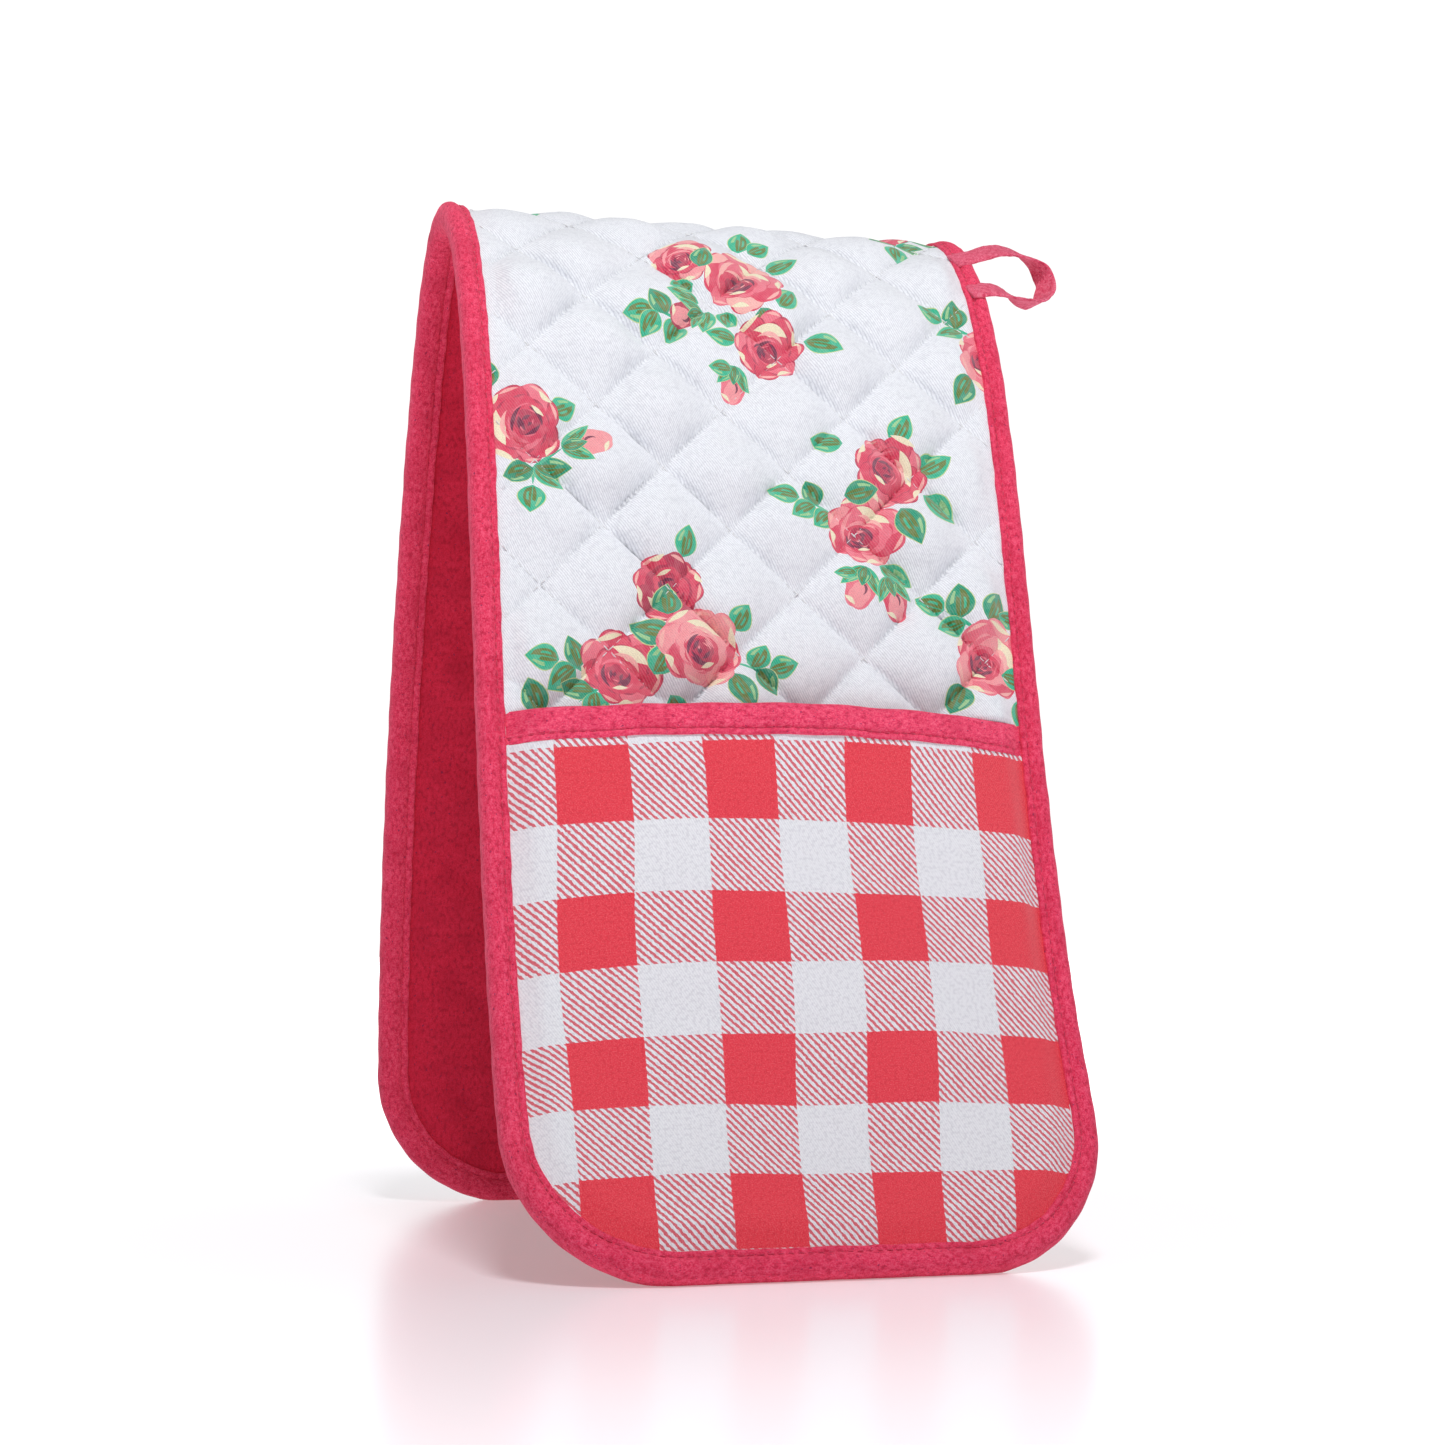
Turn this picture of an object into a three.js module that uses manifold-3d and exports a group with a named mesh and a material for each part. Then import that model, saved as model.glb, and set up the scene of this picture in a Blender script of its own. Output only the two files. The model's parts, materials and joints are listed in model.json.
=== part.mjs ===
// A double oven glove: one long quilted pad with a pocket for a hand at each end. It is folded
// over its middle and stands on its two ends like a tent.
// Millimetres. X runs along the fold, -Y is the front, +Z is up, and z = 0 is the surface that
// the glove stands on. It is built with the ridge of the fold over x = 0, y = 0.
// The cloth is described in its own flat coordinates and then bent into the tent:
//   x      across the cloth, from -WIDTH / 2 to WIDTH / 2
//   s      along the cloth from the ridge of the fold, negative on the front and positive on
//          the rear half
//   depth  into the cloth from the outer face of the edge binding
import * as THREE from "three";
import { mergeVertices } from "three/addons/utils/BufferGeometryUtils.js";
import Module from "manifold-3d";

const wasm = await Module();
wasm.setup();

// The pad
const WIDTH = 180;
const CORNER_RADIUS = 48;
const GAP = 0.3; // air left between two pieces that touch on the real object
const TAPE = 1.0; // thickness of the folded binding tape
const COVER = 0.8;
const WADDING = 3.8;
const LINING = 0.7;

// Each half hangs down from the ridge. Its lean from upright, in degrees, starts at 90 on the
// ridge, eases to `lean` over the length `ease`, and changes by `curl` towards the foot.
const FRONT = { name: "front", side: -1, length: 376, lean: 9.5, ease: 41, curl: 28, power: 4 };
const REAR = { name: "rear", side: 1, length: 371.6, lean: 24, ease: 27, curl: -33, power: 2 };
const CROWN = 54; // from the ridge to the shoulder, where the crown meets the hanging half
const SOLE = 1.0; // the foot's binding is pressed flat by this much where it stands

// The edge binding is a tape folded round the edge, with a lip on each face of the pad.
const BINDING_FACE = 8; // lip on the outer face
const BINDING_BACK = 10; // lip on the lining
const BINDING_EDGE = 2; // thickness of the fold along the edge itself
const BINDING_ROUND = 2.2;

// The pockets
const POCKET_DEPTH = 171; // from the foot to the mouth
const MOUTH_LIP = 9.6; // width of the mouth's binding
const POCKET_BOW = 12; // how far the middle of the mouth stands off the pad
const POCKET_SEAM = 0.4; // air between the pocket and the edge binding
const SEAM_SQUEEZE = 0.4; // share of the pocket's thickness that is left along its seam
const POCKET_TAPE = 0.7;
const POCKET_LINING = 0.5;
const POCKET_WADDING = 2.4;
const POCKET_FACE = 0.7;

// The hanging loop, a folded tape sewn on the face of the binding by its two ends
const LOOP_WIDTH = 7;
const LOOP_THICKNESS = 1.6;
const LOOP_FLEX_GAP = 0.8; // from the line that the loop swings about to each cut end
const LOOP_UPPER_S = -27;
const LOOP_LOWER_S = -45;
const LOOP_SEWN_LENGTH = 7;

// Depths of the layers
const COVER_TOP = TAPE + GAP;
const WADDING_TOP = COVER_TOP + COVER + GAP;
const LINING_TOP = WADDING_TOP + WADDING + GAP;
const THICKNESS = LINING_TOP + LINING + GAP + TAPE;
const LAYER_INSET = BINDING_EDGE + 2 * GAP;

// The cut through the cloth at the ridge and at each shoulder opens towards the lining, so that
// the cloth can also fold closer together there.
const CUT_SLOPE = 0.36;

// ---------------------------------------------------------------- bending the cloth

const PROFILE_STEP = 0.25;

// The half's outer line as points [y, z] with the ridge at 0, 0, and the lean at each of them.
function tracedLine(half) {
  const line = [];
  let y = 0;
  let z = 0;
  const steps = Math.ceil(half.length / PROFILE_STEP);
  for (let i = 0; i <= steps; i++) {
    const s = i * PROFILE_STEP;
    line.push({ y, z, lean: leanAt(half, s) });
    const middle = leanAt(half, s + PROFILE_STEP / 2);
    y += half.side * Math.sin(middle) * PROFILE_STEP;
    z -= Math.cos(middle) * PROFILE_STEP;
  }
  return line;
}

function leanAt(half, s) {
  const eased = half.lean + (90 - half.lean) * Math.exp(-s / half.ease);
  return THREE.MathUtils.degToRad(eased + half.curl * (s / half.length) ** half.power);
}

for (const half of [FRONT, REAR]) half.line = tracedLine(half);

// The front leans outwards at its foot, so it stands on the rounded corner next to the lining.
const footRound = bent(0, BINDING_ROUND - FRONT.length, THICKNESS - BINDING_ROUND, 0);
const RIDGE_HEIGHT = BINDING_ROUND - SOLE - footRound.z;

// The place in the tent of the point (x, s, depth) of the cloth.
function bent(x, s, depth, ridgeHeight = RIDGE_HEIGHT) {
  const half = s < 0 ? FRONT : REAR;
  const along = Math.abs(s) / PROFILE_STEP;
  const i = Math.min(Math.floor(along), half.line.length - 2);
  const t = along - i;
  const a = half.line[i];
  const b = half.line[i + 1];
  const lean = THREE.MathUtils.lerp(a.lean, b.lean, t);
  const y = THREE.MathUtils.lerp(a.y, b.y, t) - half.side * Math.cos(lean) * depth;
  const z = THREE.MathUtils.lerp(a.z, b.z, t) - Math.sin(lean) * depth;
  return new THREE.Vector3(x, y, z + ridgeHeight);
}

// Moves every vertex of a geometry by place(x, y, z), and turns its faces to point out.
function reshaped(geometry, place) {
  geometry.deleteAttribute("normal");
  geometry.deleteAttribute("uv");
  const merged = mergeVertices(geometry);
  const position = merged.attributes.position;
  for (let i = 0; i < position.count; i++) {
    const p = place(position.getX(i), position.getY(i), position.getZ(i));
    position.setXYZ(i, p.x, p.y, p.z);
  }
  if (signedVolume(merged) < 0) turnInsideOut(merged);
  merged.computeVertexNormals();
  return merged;
}

function signedVolume(geometry) {
  const [a, b, c] = [new THREE.Vector3(), new THREE.Vector3(), new THREE.Vector3()];
  const index = geometry.index;
  let volume = 0;
  for (let i = 0; i < index.count; i += 3) {
    a.fromBufferAttribute(geometry.attributes.position, index.getX(i));
    b.fromBufferAttribute(geometry.attributes.position, index.getX(i + 1));
    c.fromBufferAttribute(geometry.attributes.position, index.getX(i + 2));
    volume += a.dot(b.cross(c)) / 6;
  }
  return volume;
}

function turnInsideOut(geometry) {
  const index = geometry.index;
  for (let i = 0; i < index.count; i += 3) {
    const second = index.getX(i + 1);
    index.setX(i + 1, index.getX(i + 2));
    index.setX(i + 2, second);
  }
}

// ---------------------------------------------------------------- places along the cloth

const FINE_STEP = 6; // round the crown
const COARSE_STEP = 14; // down the hanging halves

// Distances from the ridge at which the cloth is divided, between two of them.
function divisions(from, to) {
  const step = from < CROWN ? FINE_STEP : COARSE_STEP;
  const count = Math.ceil((to - from) / step);
  return Array.from({ length: count + 1 }, (_, i) => from + ((to - from) * i) / count);
}

// The divisions of a half down to its foot, closer together round the corners.
const CORNER_STEPS = 8;

function divisionsToFoot(half, from, inset) {
  const corner = half.length - CORNER_RADIUS;
  const round = CORNER_RADIUS - inset;
  const list = divisions(from, corner);
  for (let i = 1; i <= CORNER_STEPS; i++) {
    list.push(corner + round * Math.sin((Math.PI / 2) * (i / CORNER_STEPS)));
  }
  return list;
}

// Half the width of a layer at a distance from the ridge, `inset` inside the edge.
function halfWidth(half, distance, inset) {
  const intoCorner = distance - (half.length - CORNER_RADIUS);
  if (intoCorner <= 0) return WIDTH / 2 - inset;
  const round = CORNER_RADIUS - inset;
  return WIDTH / 2 - CORNER_RADIUS + Math.sqrt(Math.max(0, round ** 2 - intoCorner ** 2));
}

// A cut end leans back with depth. `way` is 1 at the end nearer the ridge and -1 at the other.
function cutBack(depth, way) {
  return way * (GAP / 2 + Math.max(0, depth) * CUT_SLOPE);
}

// ---------------------------------------------------------------- the pad's pieces

// One layer of the pad between two distances from the ridge. toFoot ends it in round corners.
function layer(half, list, top, thickness, toFoot) {
  const rows = list.length - 1;
  const box = new THREE.BoxGeometry(1, rows, 1, 1, rows, 1);
  return reshaped(box, (x, y, z) => {
    const row = Math.round(y + rows / 2);
    const depth = top + (z + 0.5) * thickness;
    let distance = list[row];
    const wide = halfWidth(half, distance, LAYER_INSET);
    if (row === 0) distance += cutBack(depth, 1);
    if (row === rows && !toFoot) distance += cutBack(depth, -1);
    return bent(2 * x * wide, half.side * distance, depth);
  });
}

// The binding's section: x is the distance in from the edge, y is the depth.
function bindingSection() {
  const r = BINDING_ROUND;
  const shape = new THREE.Shape();
  shape.moveTo(BINDING_FACE, 0);
  shape.lineTo(BINDING_FACE, TAPE);
  shape.lineTo(BINDING_EDGE, TAPE);
  shape.lineTo(BINDING_EDGE, THICKNESS - TAPE);
  shape.lineTo(BINDING_BACK, THICKNESS - TAPE);
  shape.lineTo(BINDING_BACK, THICKNESS);
  shape.lineTo(r, THICKNESS);
  shape.absarc(r, THICKNESS - r, r, Math.PI / 2, Math.PI, false);
  shape.absarc(r, r, r, Math.PI, 1.5 * Math.PI, false);
  return shape;
}

// A straight length of the edge binding along one side.
function sideBinding(half, list, side, cutAtEnd) {
  const rows = list.length - 1;
  const bar = new THREE.ExtrudeGeometry(bindingSection(), {
    depth: rows,
    steps: rows,
    curveSegments: 2,
    bevelEnabled: false,
  });
  return reshaped(bar, (inward, depth, z) => {
    const row = Math.round(z);
    let distance = list[row];
    if (row === 0) distance += cutBack(depth, 1);
    if (row === rows) distance += cutAtEnd ? cutBack(depth, -1) : -GAP / 2;
    return bent(side * (WIDTH / 2 - inward), half.side * distance, depth);
  });
}

// The edge binding round the foot: a corner, the end of the cloth and the other corner.
const FOOT_CORNER_STEPS = 9;
const FOOT_STRAIGHT_STEPS = 4;

function footBinding(half) {
  const route = footRoute(half);
  const steps = route.length - 1;
  const bar = new THREE.ExtrudeGeometry(bindingSection(), {
    depth: steps,
    steps,
    curveSegments: 2,
    bevelEnabled: false,
  });
  const whole = reshaped(bar, (inward, depth, z) => {
    const at = route[Math.round(z)];
    const x = at.x + inward * at.inX;
    return bent(x, half.side * (at.distance + inward * at.inDistance), depth);
  });
  return cutAtFloor(whole);
}

function footRoute(half) {
  const route = [];
  const straight = WIDTH / 2 - CORNER_RADIUS;
  const corner = half.length - CORNER_RADIUS;
  for (const side of [-1, 1]) {
    const turned = [];
    for (let i = 0; i <= FOOT_CORNER_STEPS; i++) {
      const angle = (Math.PI / 2) * (i / FOOT_CORNER_STEPS);
      turned.push({
        x: side * (straight + CORNER_RADIUS * Math.cos(angle)),
        distance: corner + CORNER_RADIUS * Math.sin(angle) + (i === 0 ? GAP / 2 : 0),
        inX: -side * Math.cos(angle),
        inDistance: -Math.sin(angle),
      });
    }
    route.push(...(side < 0 ? turned : turned.reverse()));
    if (side > 0) break;
    for (let i = 1; i < FOOT_STRAIGHT_STEPS; i++) {
      const x = straight * ((2 * i) / FOOT_STRAIGHT_STEPS - 1);
      route.push({ x, distance: half.length, inX: 0, inDistance: -1 });
    }
  }
  return route;
}

function solid(geometry) {
  const vertProperties = geometry.attributes.position.array;
  const triVerts = new Uint32Array(geometry.index.array);
  return new wasm.Manifold(new wasm.Mesh({ numProp: 3, vertProperties, triVerts }));
}

function geometryOf(made) {
  const mesh = made.getMesh();
  const geometry = new THREE.BufferGeometry();
  const position = new THREE.BufferAttribute(new Float32Array(mesh.vertProperties), 3);
  geometry.setAttribute("position", position);
  geometry.setIndex(new THREE.BufferAttribute(new Uint32Array(mesh.triVerts), 1));
  geometry.computeVertexNormals();
  return geometry;
}

// Cuts off what is below z = 0, which leaves a flat sole.
function cutAtFloor(geometry) {
  const span = FRONT.length + REAR.length;
  const below = new THREE.BoxGeometry(2 * WIDTH, span, WIDTH).translate(0, 0, -WIDTH / 2);
  return geometryOf(solid(geometry).subtract(solid(reshaped(below, asItIs))));
}

function asItIs(x, y, z) {
  return { x, y, z };
}

// ---------------------------------------------------------------- the pockets

const POCKET_COLUMNS = 8;
const POCKET_INSET = BINDING_FACE + POCKET_SEAM;
const MOUTH_LEVEL = POCKET_TAPE + GAP; // up from the pad, through the mouth's inner lip
const POCKET_WADDING_LEVEL = MOUTH_LEVEL + POCKET_LINING + GAP;
const POCKET_FACE_LEVEL = POCKET_WADDING_LEVEL + POCKET_WADDING + GAP;
const POCKET_TOP_LEVEL = POCKET_FACE_LEVEL + POCKET_FACE + GAP + POCKET_TAPE;

function mouthDistance(half) {
  return half.length - POCKET_DEPTH;
}

// The depth of a level in the pocket's thickness. The pocket bows off the pad towards the
// middle of its mouth, and is squeezed thin along its seam.
function pocketDepth(half, x, distance, level) {
  const across = 1 - (x / (WIDTH / 2 - POCKET_INSET)) ** 2;
  const fromFoot = (half.length - POCKET_INSET - distance) / (POCKET_DEPTH - POCKET_INSET);
  const up = Math.sin((Math.PI / 2) * THREE.MathUtils.clamp(fromFoot, 0, 1));
  const full = Math.max(0, across) * up;
  const squeeze = SEAM_SQUEEZE + (1 - SEAM_SQUEEZE) * Math.sqrt(full);
  return COVER_TOP - GAP - POCKET_BOW * full - level * squeeze;
}

// Every second layer is mirrored across the pocket (hand is -1), so that the triangles of two
// facing surfaces run the same way and the gap between them stays even.
function pocketLayer(half, level, thickness, hand) {
  const list = divisionsToFoot(half, mouthDistance(half) + POCKET_TAPE + GAP, POCKET_INSET);
  const rows = list.length - 1;
  const box = new THREE.BoxGeometry(2, rows, 1, POCKET_COLUMNS, rows, 1);
  return reshaped(box, (x, y, z) => {
    const distance = list[Math.round(y + rows / 2)];
    const across = hand * x * halfWidth(half, distance, POCKET_INSET);
    const depth = pocketDepth(half, across, distance, level + (z + 0.5) * thickness);
    return bent(across, half.side * distance, depth);
  });
}

// The tape folded over the pocket's mouth.
function mouthBinding(half) {
  const mouth = mouthDistance(half);
  const shape = new THREE.Shape();
  shape.moveTo(0, 0);
  shape.lineTo(MOUTH_LIP, 0);
  shape.lineTo(MOUTH_LIP, POCKET_TAPE);
  shape.lineTo(POCKET_TAPE, POCKET_TAPE);
  shape.lineTo(POCKET_TAPE, POCKET_TOP_LEVEL - POCKET_TAPE);
  shape.lineTo(MOUTH_LIP, POCKET_TOP_LEVEL - POCKET_TAPE);
  shape.lineTo(MOUTH_LIP, POCKET_TOP_LEVEL);
  shape.lineTo(0, POCKET_TOP_LEVEL);
  const bar = new THREE.ExtrudeGeometry(shape, {
    depth: 2,
    steps: POCKET_COLUMNS,
    bevelEnabled: false,
  });
  return reshaped(bar, (down, level, z) => {
    const across = (z - 1) * (WIDTH / 2 - POCKET_INSET);
    const distance = mouth + down;
    const depth = pocketDepth(half, across, distance, level);
    return bent(across, half.side * distance, depth);
  });
}

// ---------------------------------------------------------------- the hanging loop

const LOOP_DEPTH = -GAP - LOOP_THICKNESS / 2;
const LOOP_PIVOT_X = WIDTH / 2 + GAP;
const LOOP_UPPER = bent(LOOP_PIVOT_X, LOOP_UPPER_S, LOOP_DEPTH);
const LOOP_LOWER = bent(LOOP_PIVOT_X, LOOP_LOWER_S, LOOP_DEPTH);
const LOOP_ROOT_ACROSS = LOOP_LOWER.clone().sub(LOOP_UPPER).normalize();

// The free part of the loop, as offsets from the points where it leaves the binding: how far
// out, and how far up from the upper or the lower root. The far end is straight for a few
// millimetres, where a hook bears.
const LOOP_ROUTE = [
  { root: "upper", out: LOOP_FLEX_GAP, up: 0 },
  { root: "upper", out: 3.5, up: 1.4 },
  { root: "upper", out: 7, up: 3.4 },
  { root: "upper", out: 12, up: 5.2 },
  { root: "upper", out: 17, up: 4.4 },
  { root: "upper", out: 22, up: 0.6 },
  { root: "upper", out: 25, up: -5.0 },
  { root: "lower", out: 25, up: 4.0 },
  { root: "lower", out: 22.5, up: -1.6 },
  { root: "lower", out: 17, up: -4.6 },
  { root: "lower", out: 11.5, up: -4.2 },
  { root: "lower", out: 7, up: -2.4 },
  { root: "lower", out: 3.5, up: -1.0 },
  { root: "lower", out: LOOP_FLEX_GAP, up: 0 },
];
const LOOP_STEPS = 34;
const LOOP_FLAT_SHARE = 0.025; // the share of its length from each root at which it starts to
const LOOP_ON_EDGE_SHARE = 0.17; // twist, and the share at which it is on edge

function loopPoint({ root, out, up }) {
  const from = root === "upper" ? LOOP_UPPER : LOOP_LOWER;
  return new THREE.Vector3(from.x + out, from.y, from.z + up);
}

// The tape lies flat on the binding at its ends and turns on edge in between.
function freeLoop() {
  const curve = new THREE.CatmullRomCurve3(LOOP_ROUTE.map(loopPoint), false, "centripetal");
  const onEdge = new THREE.Vector3(0, 1, 0);
  const box = new THREE.BoxGeometry(LOOP_WIDTH, LOOP_THICKNESS, 1, 1, 1, LOOP_STEPS);
  return reshaped(box, (across, off, z) => {
    const share = z + 0.5;
    const fromRoot = Math.min(share, 1 - share);
    const twist = THREE.MathUtils.smoothstep(fromRoot, LOOP_FLAT_SHARE, LOOP_ON_EDGE_SHARE);
    const along = curve.getTangentAt(share);
    const flat = LOOP_ROOT_ACROSS.clone().multiplyScalar(share < 0.5 ? 1 : -1);
    const wide = flat.lerp(onEdge, twist);
    wide.addScaledVector(along, -wide.dot(along)).normalize();
    const thick = along.clone().cross(wide);
    return curve.getPointAt(share).addScaledVector(wide, across).addScaledVector(thick, off);
  });
}

// A sewn end of the loop, flat on the face of the binding.
function loopEnd(s) {
  const box = new THREE.BoxGeometry(1, 1, 1, 1, 2, 1);
  const outer = LOOP_PIVOT_X - LOOP_FLEX_GAP;
  return reshaped(box, (x, y, z) => {
    const along = outer - (0.5 - x) * LOOP_SEWN_LENGTH;
    return bent(along, s + y * LOOP_WIDTH, LOOP_DEPTH + z * LOOP_THICKNESS);
  });
}

// ---------------------------------------------------------------- putting it together

function material(color, roughness) {
  return new THREE.MeshStandardMaterial({ color, roughness, metalness: 0 });
}

const WHITE_TWILL = material(0xe4e6ec, 0.85);
const CRIMSON_TAPE = material(0xd2335d, 0.9);
const CRIMSON_LINING = material(0xae2140, 0.9);
const WADDING_FELT = material(0xf0eee6, 1.0);
const CHECKED_TWILL = material(0xe0606a, 0.85);

const glove = new THREE.Group();

function add(name, geometry, look) {
  const mesh = new THREE.Mesh(geometry, look);
  mesh.name = name;
  glove.add(mesh);
}

function addLayers(name, half, list, toFoot) {
  add(name + "_cover", layer(half, list, COVER_TOP, COVER, toFoot), WHITE_TWILL);
  add(name + "_wadding", layer(half, list, WADDING_TOP, WADDING, toFoot), WADDING_FELT);
  add(name + "_lining", layer(half, list, LINING_TOP, LINING, toFoot), CRIMSON_LINING);
}

function addPocket(half) {
  const name = half.name + "_pocket";
  const lining = pocketLayer(half, MOUTH_LEVEL, POCKET_LINING, 1);
  const wadding = pocketLayer(half, POCKET_WADDING_LEVEL, POCKET_WADDING, -1);
  const face = pocketLayer(half, POCKET_FACE_LEVEL, POCKET_FACE, 1);
  add(name + "_lining", lining, CRIMSON_LINING);
  add(name + "_wadding", wadding, WADDING_FELT);
  add(name + "_face", face, CHECKED_TWILL);
  add(name + "_mouth_binding", mouthBinding(half), CRIMSON_TAPE);
}

for (const half of [FRONT, REAR]) {
  const crown = divisions(0, CROWN);
  const toCorner = divisions(CROWN, half.length - CORNER_RADIUS);
  addLayers(half.name + "_crown", half, crown, false);
  addLayers(half.name, half, divisionsToFoot(half, CROWN, LAYER_INSET), true);
  for (const [hand, side] of [["left", -1], ["right", 1]]) {
    const crownTape = sideBinding(half, crown, side, true);
    const sideTape = sideBinding(half, toCorner, side, false);
    add(half.name + "_crown_binding_" + hand, crownTape, CRIMSON_TAPE);
    add(half.name + "_binding_" + hand, sideTape, CRIMSON_TAPE);
  }
  add(half.name + "_binding_foot", footBinding(half), CRIMSON_TAPE);
  addPocket(half);
}
add("hanging_loop", freeLoop(), CRIMSON_TAPE);
add("loop_end_upper", loopEnd(LOOP_UPPER_S), CRIMSON_TAPE);
add("loop_end_lower", loopEnd(LOOP_LOWER_S), CRIMSON_TAPE);

// The origin is the middle of the bounding box's base.
const box = new THREE.Box3().setFromObject(glove);
glove.position.set(-(box.min.x + box.max.x) / 2, -(box.min.y + box.max.y) / 2, 0);

export default glove;
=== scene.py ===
"""A double oven glove: a quilted pad printed with roses, bound in crimson tape, with a checked
pocket for a hand at each end. It is folded over its middle and stands like a tent.

The cloth is built in its own flat coordinates, in millimetres, and then bent into the tent as
the CAD model bends it:
    x      across the cloth, from the middle
    s      along the cloth from the ridge, negative on the front half, positive on the rear half
    depth  into the pad from the outer face of the edge binding
"""

import math

import bpy
import numpy as np
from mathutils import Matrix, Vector
from mathutils.geometry import delaunay_2d_cdt
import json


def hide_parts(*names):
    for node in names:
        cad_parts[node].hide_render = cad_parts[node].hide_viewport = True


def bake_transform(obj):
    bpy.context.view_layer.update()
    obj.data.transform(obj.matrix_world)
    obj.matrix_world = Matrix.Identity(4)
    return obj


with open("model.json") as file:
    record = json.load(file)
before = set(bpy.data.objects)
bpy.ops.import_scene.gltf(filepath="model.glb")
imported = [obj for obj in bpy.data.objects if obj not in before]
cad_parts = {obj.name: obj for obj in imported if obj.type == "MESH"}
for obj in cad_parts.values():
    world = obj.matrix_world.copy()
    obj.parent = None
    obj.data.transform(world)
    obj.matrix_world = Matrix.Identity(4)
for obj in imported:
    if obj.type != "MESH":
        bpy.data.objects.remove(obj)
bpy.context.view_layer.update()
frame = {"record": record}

MM = 0.001

# ---- sizes, in millimetres

WIDTH = 180.0
CORNER = 48.0
LIP = 8.0  # the binding's lip on the outer face
POCKET_DEPTH = 171.0
POCKET_BOW = 12.0
POCKET_INSET = 8.4

QUILT = 40.75  # from corner to corner of a quilted diamond
QUILT_U = 12.6  # where one seam of each slant crosses the ridge
QUILT_V = 11.95
QUILT_PITCH = 3.3  # from one quilting stitch to the next
QUILT_PUFF = 6.4
LINING_PUFF = 2.4
CELL = QUILT / 32  # spacing of the cover's vertices

SEAM_PITCH = 2.9  # from one stitch of the bindings to the next

CHECK = 21.9  # width of a check
CHECK_HIGH = 20.9
CHECK_COLUMN = -4.2  # from the pocket's middle to a column's edge
CHECK_ROW = 7.6  # from the foot to the first row's edge
ROWS_EVEN = 97.0  # the rows grow taller further from the first row's edge than this
ROWS_GROW = 0.0019
COLUMNS_NARROW = 0.045  # share by which the columns narrow at the foot

FRONT_SPLIT = -21.0  # where the stretches of cloth meet
REAR_SPLIT = 14.5


class Half:
    """One half of the tent: its outer line from the ridge down to its foot."""

    STEP = 0.5

    def __init__(self, name, side, length, lean, ease, curl, power):
        self.name = name
        self.side = side
        self.length = length
        self.mouth = length - POCKET_DEPTH
        self.s = np.arange(0, length + 4, self.STEP)

        def lean_at(s):
            eased = lean + (90 - lean) * np.exp(-s / ease)
            return np.radians(eased + curl * (s / length) ** power)

        self.lean = lean_at(self.s)
        middle = lean_at(self.s[:-1] + self.STEP / 2)
        self.y = np.concatenate([[0], np.cumsum(side * np.sin(middle) * self.STEP)])
        self.z = np.concatenate([[0], np.cumsum(-np.cos(middle) * self.STEP)])


FRONT = Half("front", -1, 376.0, 9.5, 41.0, 28.0, 4)
REAR = Half("rear", 1, 371.6, 24.0, 27.0, -33.0, 2)
JOINTS = {joint["name"]: joint for joint in frame["record"]["behaviour"]["joints"]}
RIDGE = np.array(JOINTS["ridge_bend"]["pos_m"])


def bent(x, s, depth):
    """The place in the tent, in metres, of the points (x, s, depth) of the cloth."""
    x, s, depth = np.broadcast_arrays(*(np.asarray(v, float) for v in (x, s, depth)))
    y = np.zeros(s.shape)
    z = np.zeros(s.shape)
    for half in (FRONT, REAR):
        on = (s < 0) == (half.side < 0)
        along = np.abs(s[on])
        lean = np.interp(along, half.s, half.lean)
        y[on] = np.interp(along, half.s, half.y) - half.side * np.cos(lean) * depth[on]
        z[on] = np.interp(along, half.s, half.z) - np.sin(lean) * depth[on]
    return np.stack([x, y, z], -1) * MM + RIDGE


def edge_distance(x, s):
    """How far a point of the cloth is inside the pad's outline."""
    x, s = np.abs(np.asarray(x, float)), np.asarray(s, float)
    length = np.where(s < 0, FRONT.length, REAR.length)
    along = np.abs(s)
    straight = np.minimum(WIDTH / 2 - x, length - along)
    into_x = x - (WIDTH / 2 - CORNER)
    into_s = along - (length - CORNER)
    rounded = CORNER - np.hypot(into_x, into_s)
    return np.where((into_x > 0) & (into_s > 0), rounded, straight)


def smooth(low, high, value):
    """0 up to low, 1 from high on and an easy rise between."""
    t = np.clip((value - low) / (high - low), 0, 1)
    return t * t * (3 - 2 * t)


def ripple(t, lengths, seed):
    """A smooth uneven wave between about -1 and 1."""
    phases = np.random.RandomState(seed).rand(len(lengths)) * 2 * math.pi
    waves = [np.sin(2 * math.pi * t / n + p) for n, p in zip(lengths, phases)]
    return sum(waves) / len(lengths) ** 0.5


def unit(vectors):
    return vectors / np.linalg.norm(vectors, axis=-1, keepdims=True)


def distance_along(points):
    """The length of a line of points up to each point."""
    steps = np.linalg.norm(np.diff(points, axis=0), axis=1)
    return np.concatenate([[0], np.cumsum(steps)])


def wrinkle(x, s, size, seed):
    """Smooth uneven dents of about one size, between about -1 and 1."""
    rng = np.random.RandomState(seed)
    total = 0
    for _ in range(9):
        angle = rng.rand() * 2 * math.pi
        length = size * (0.7 + 0.8 * rng.rand())
        phase = rng.rand() * 2 * math.pi
        along = x * math.cos(angle) + s * math.sin(angle)
        total = total + np.sin(2 * math.pi * along / length + phase)
    return total / 3


# ---- materials


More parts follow.
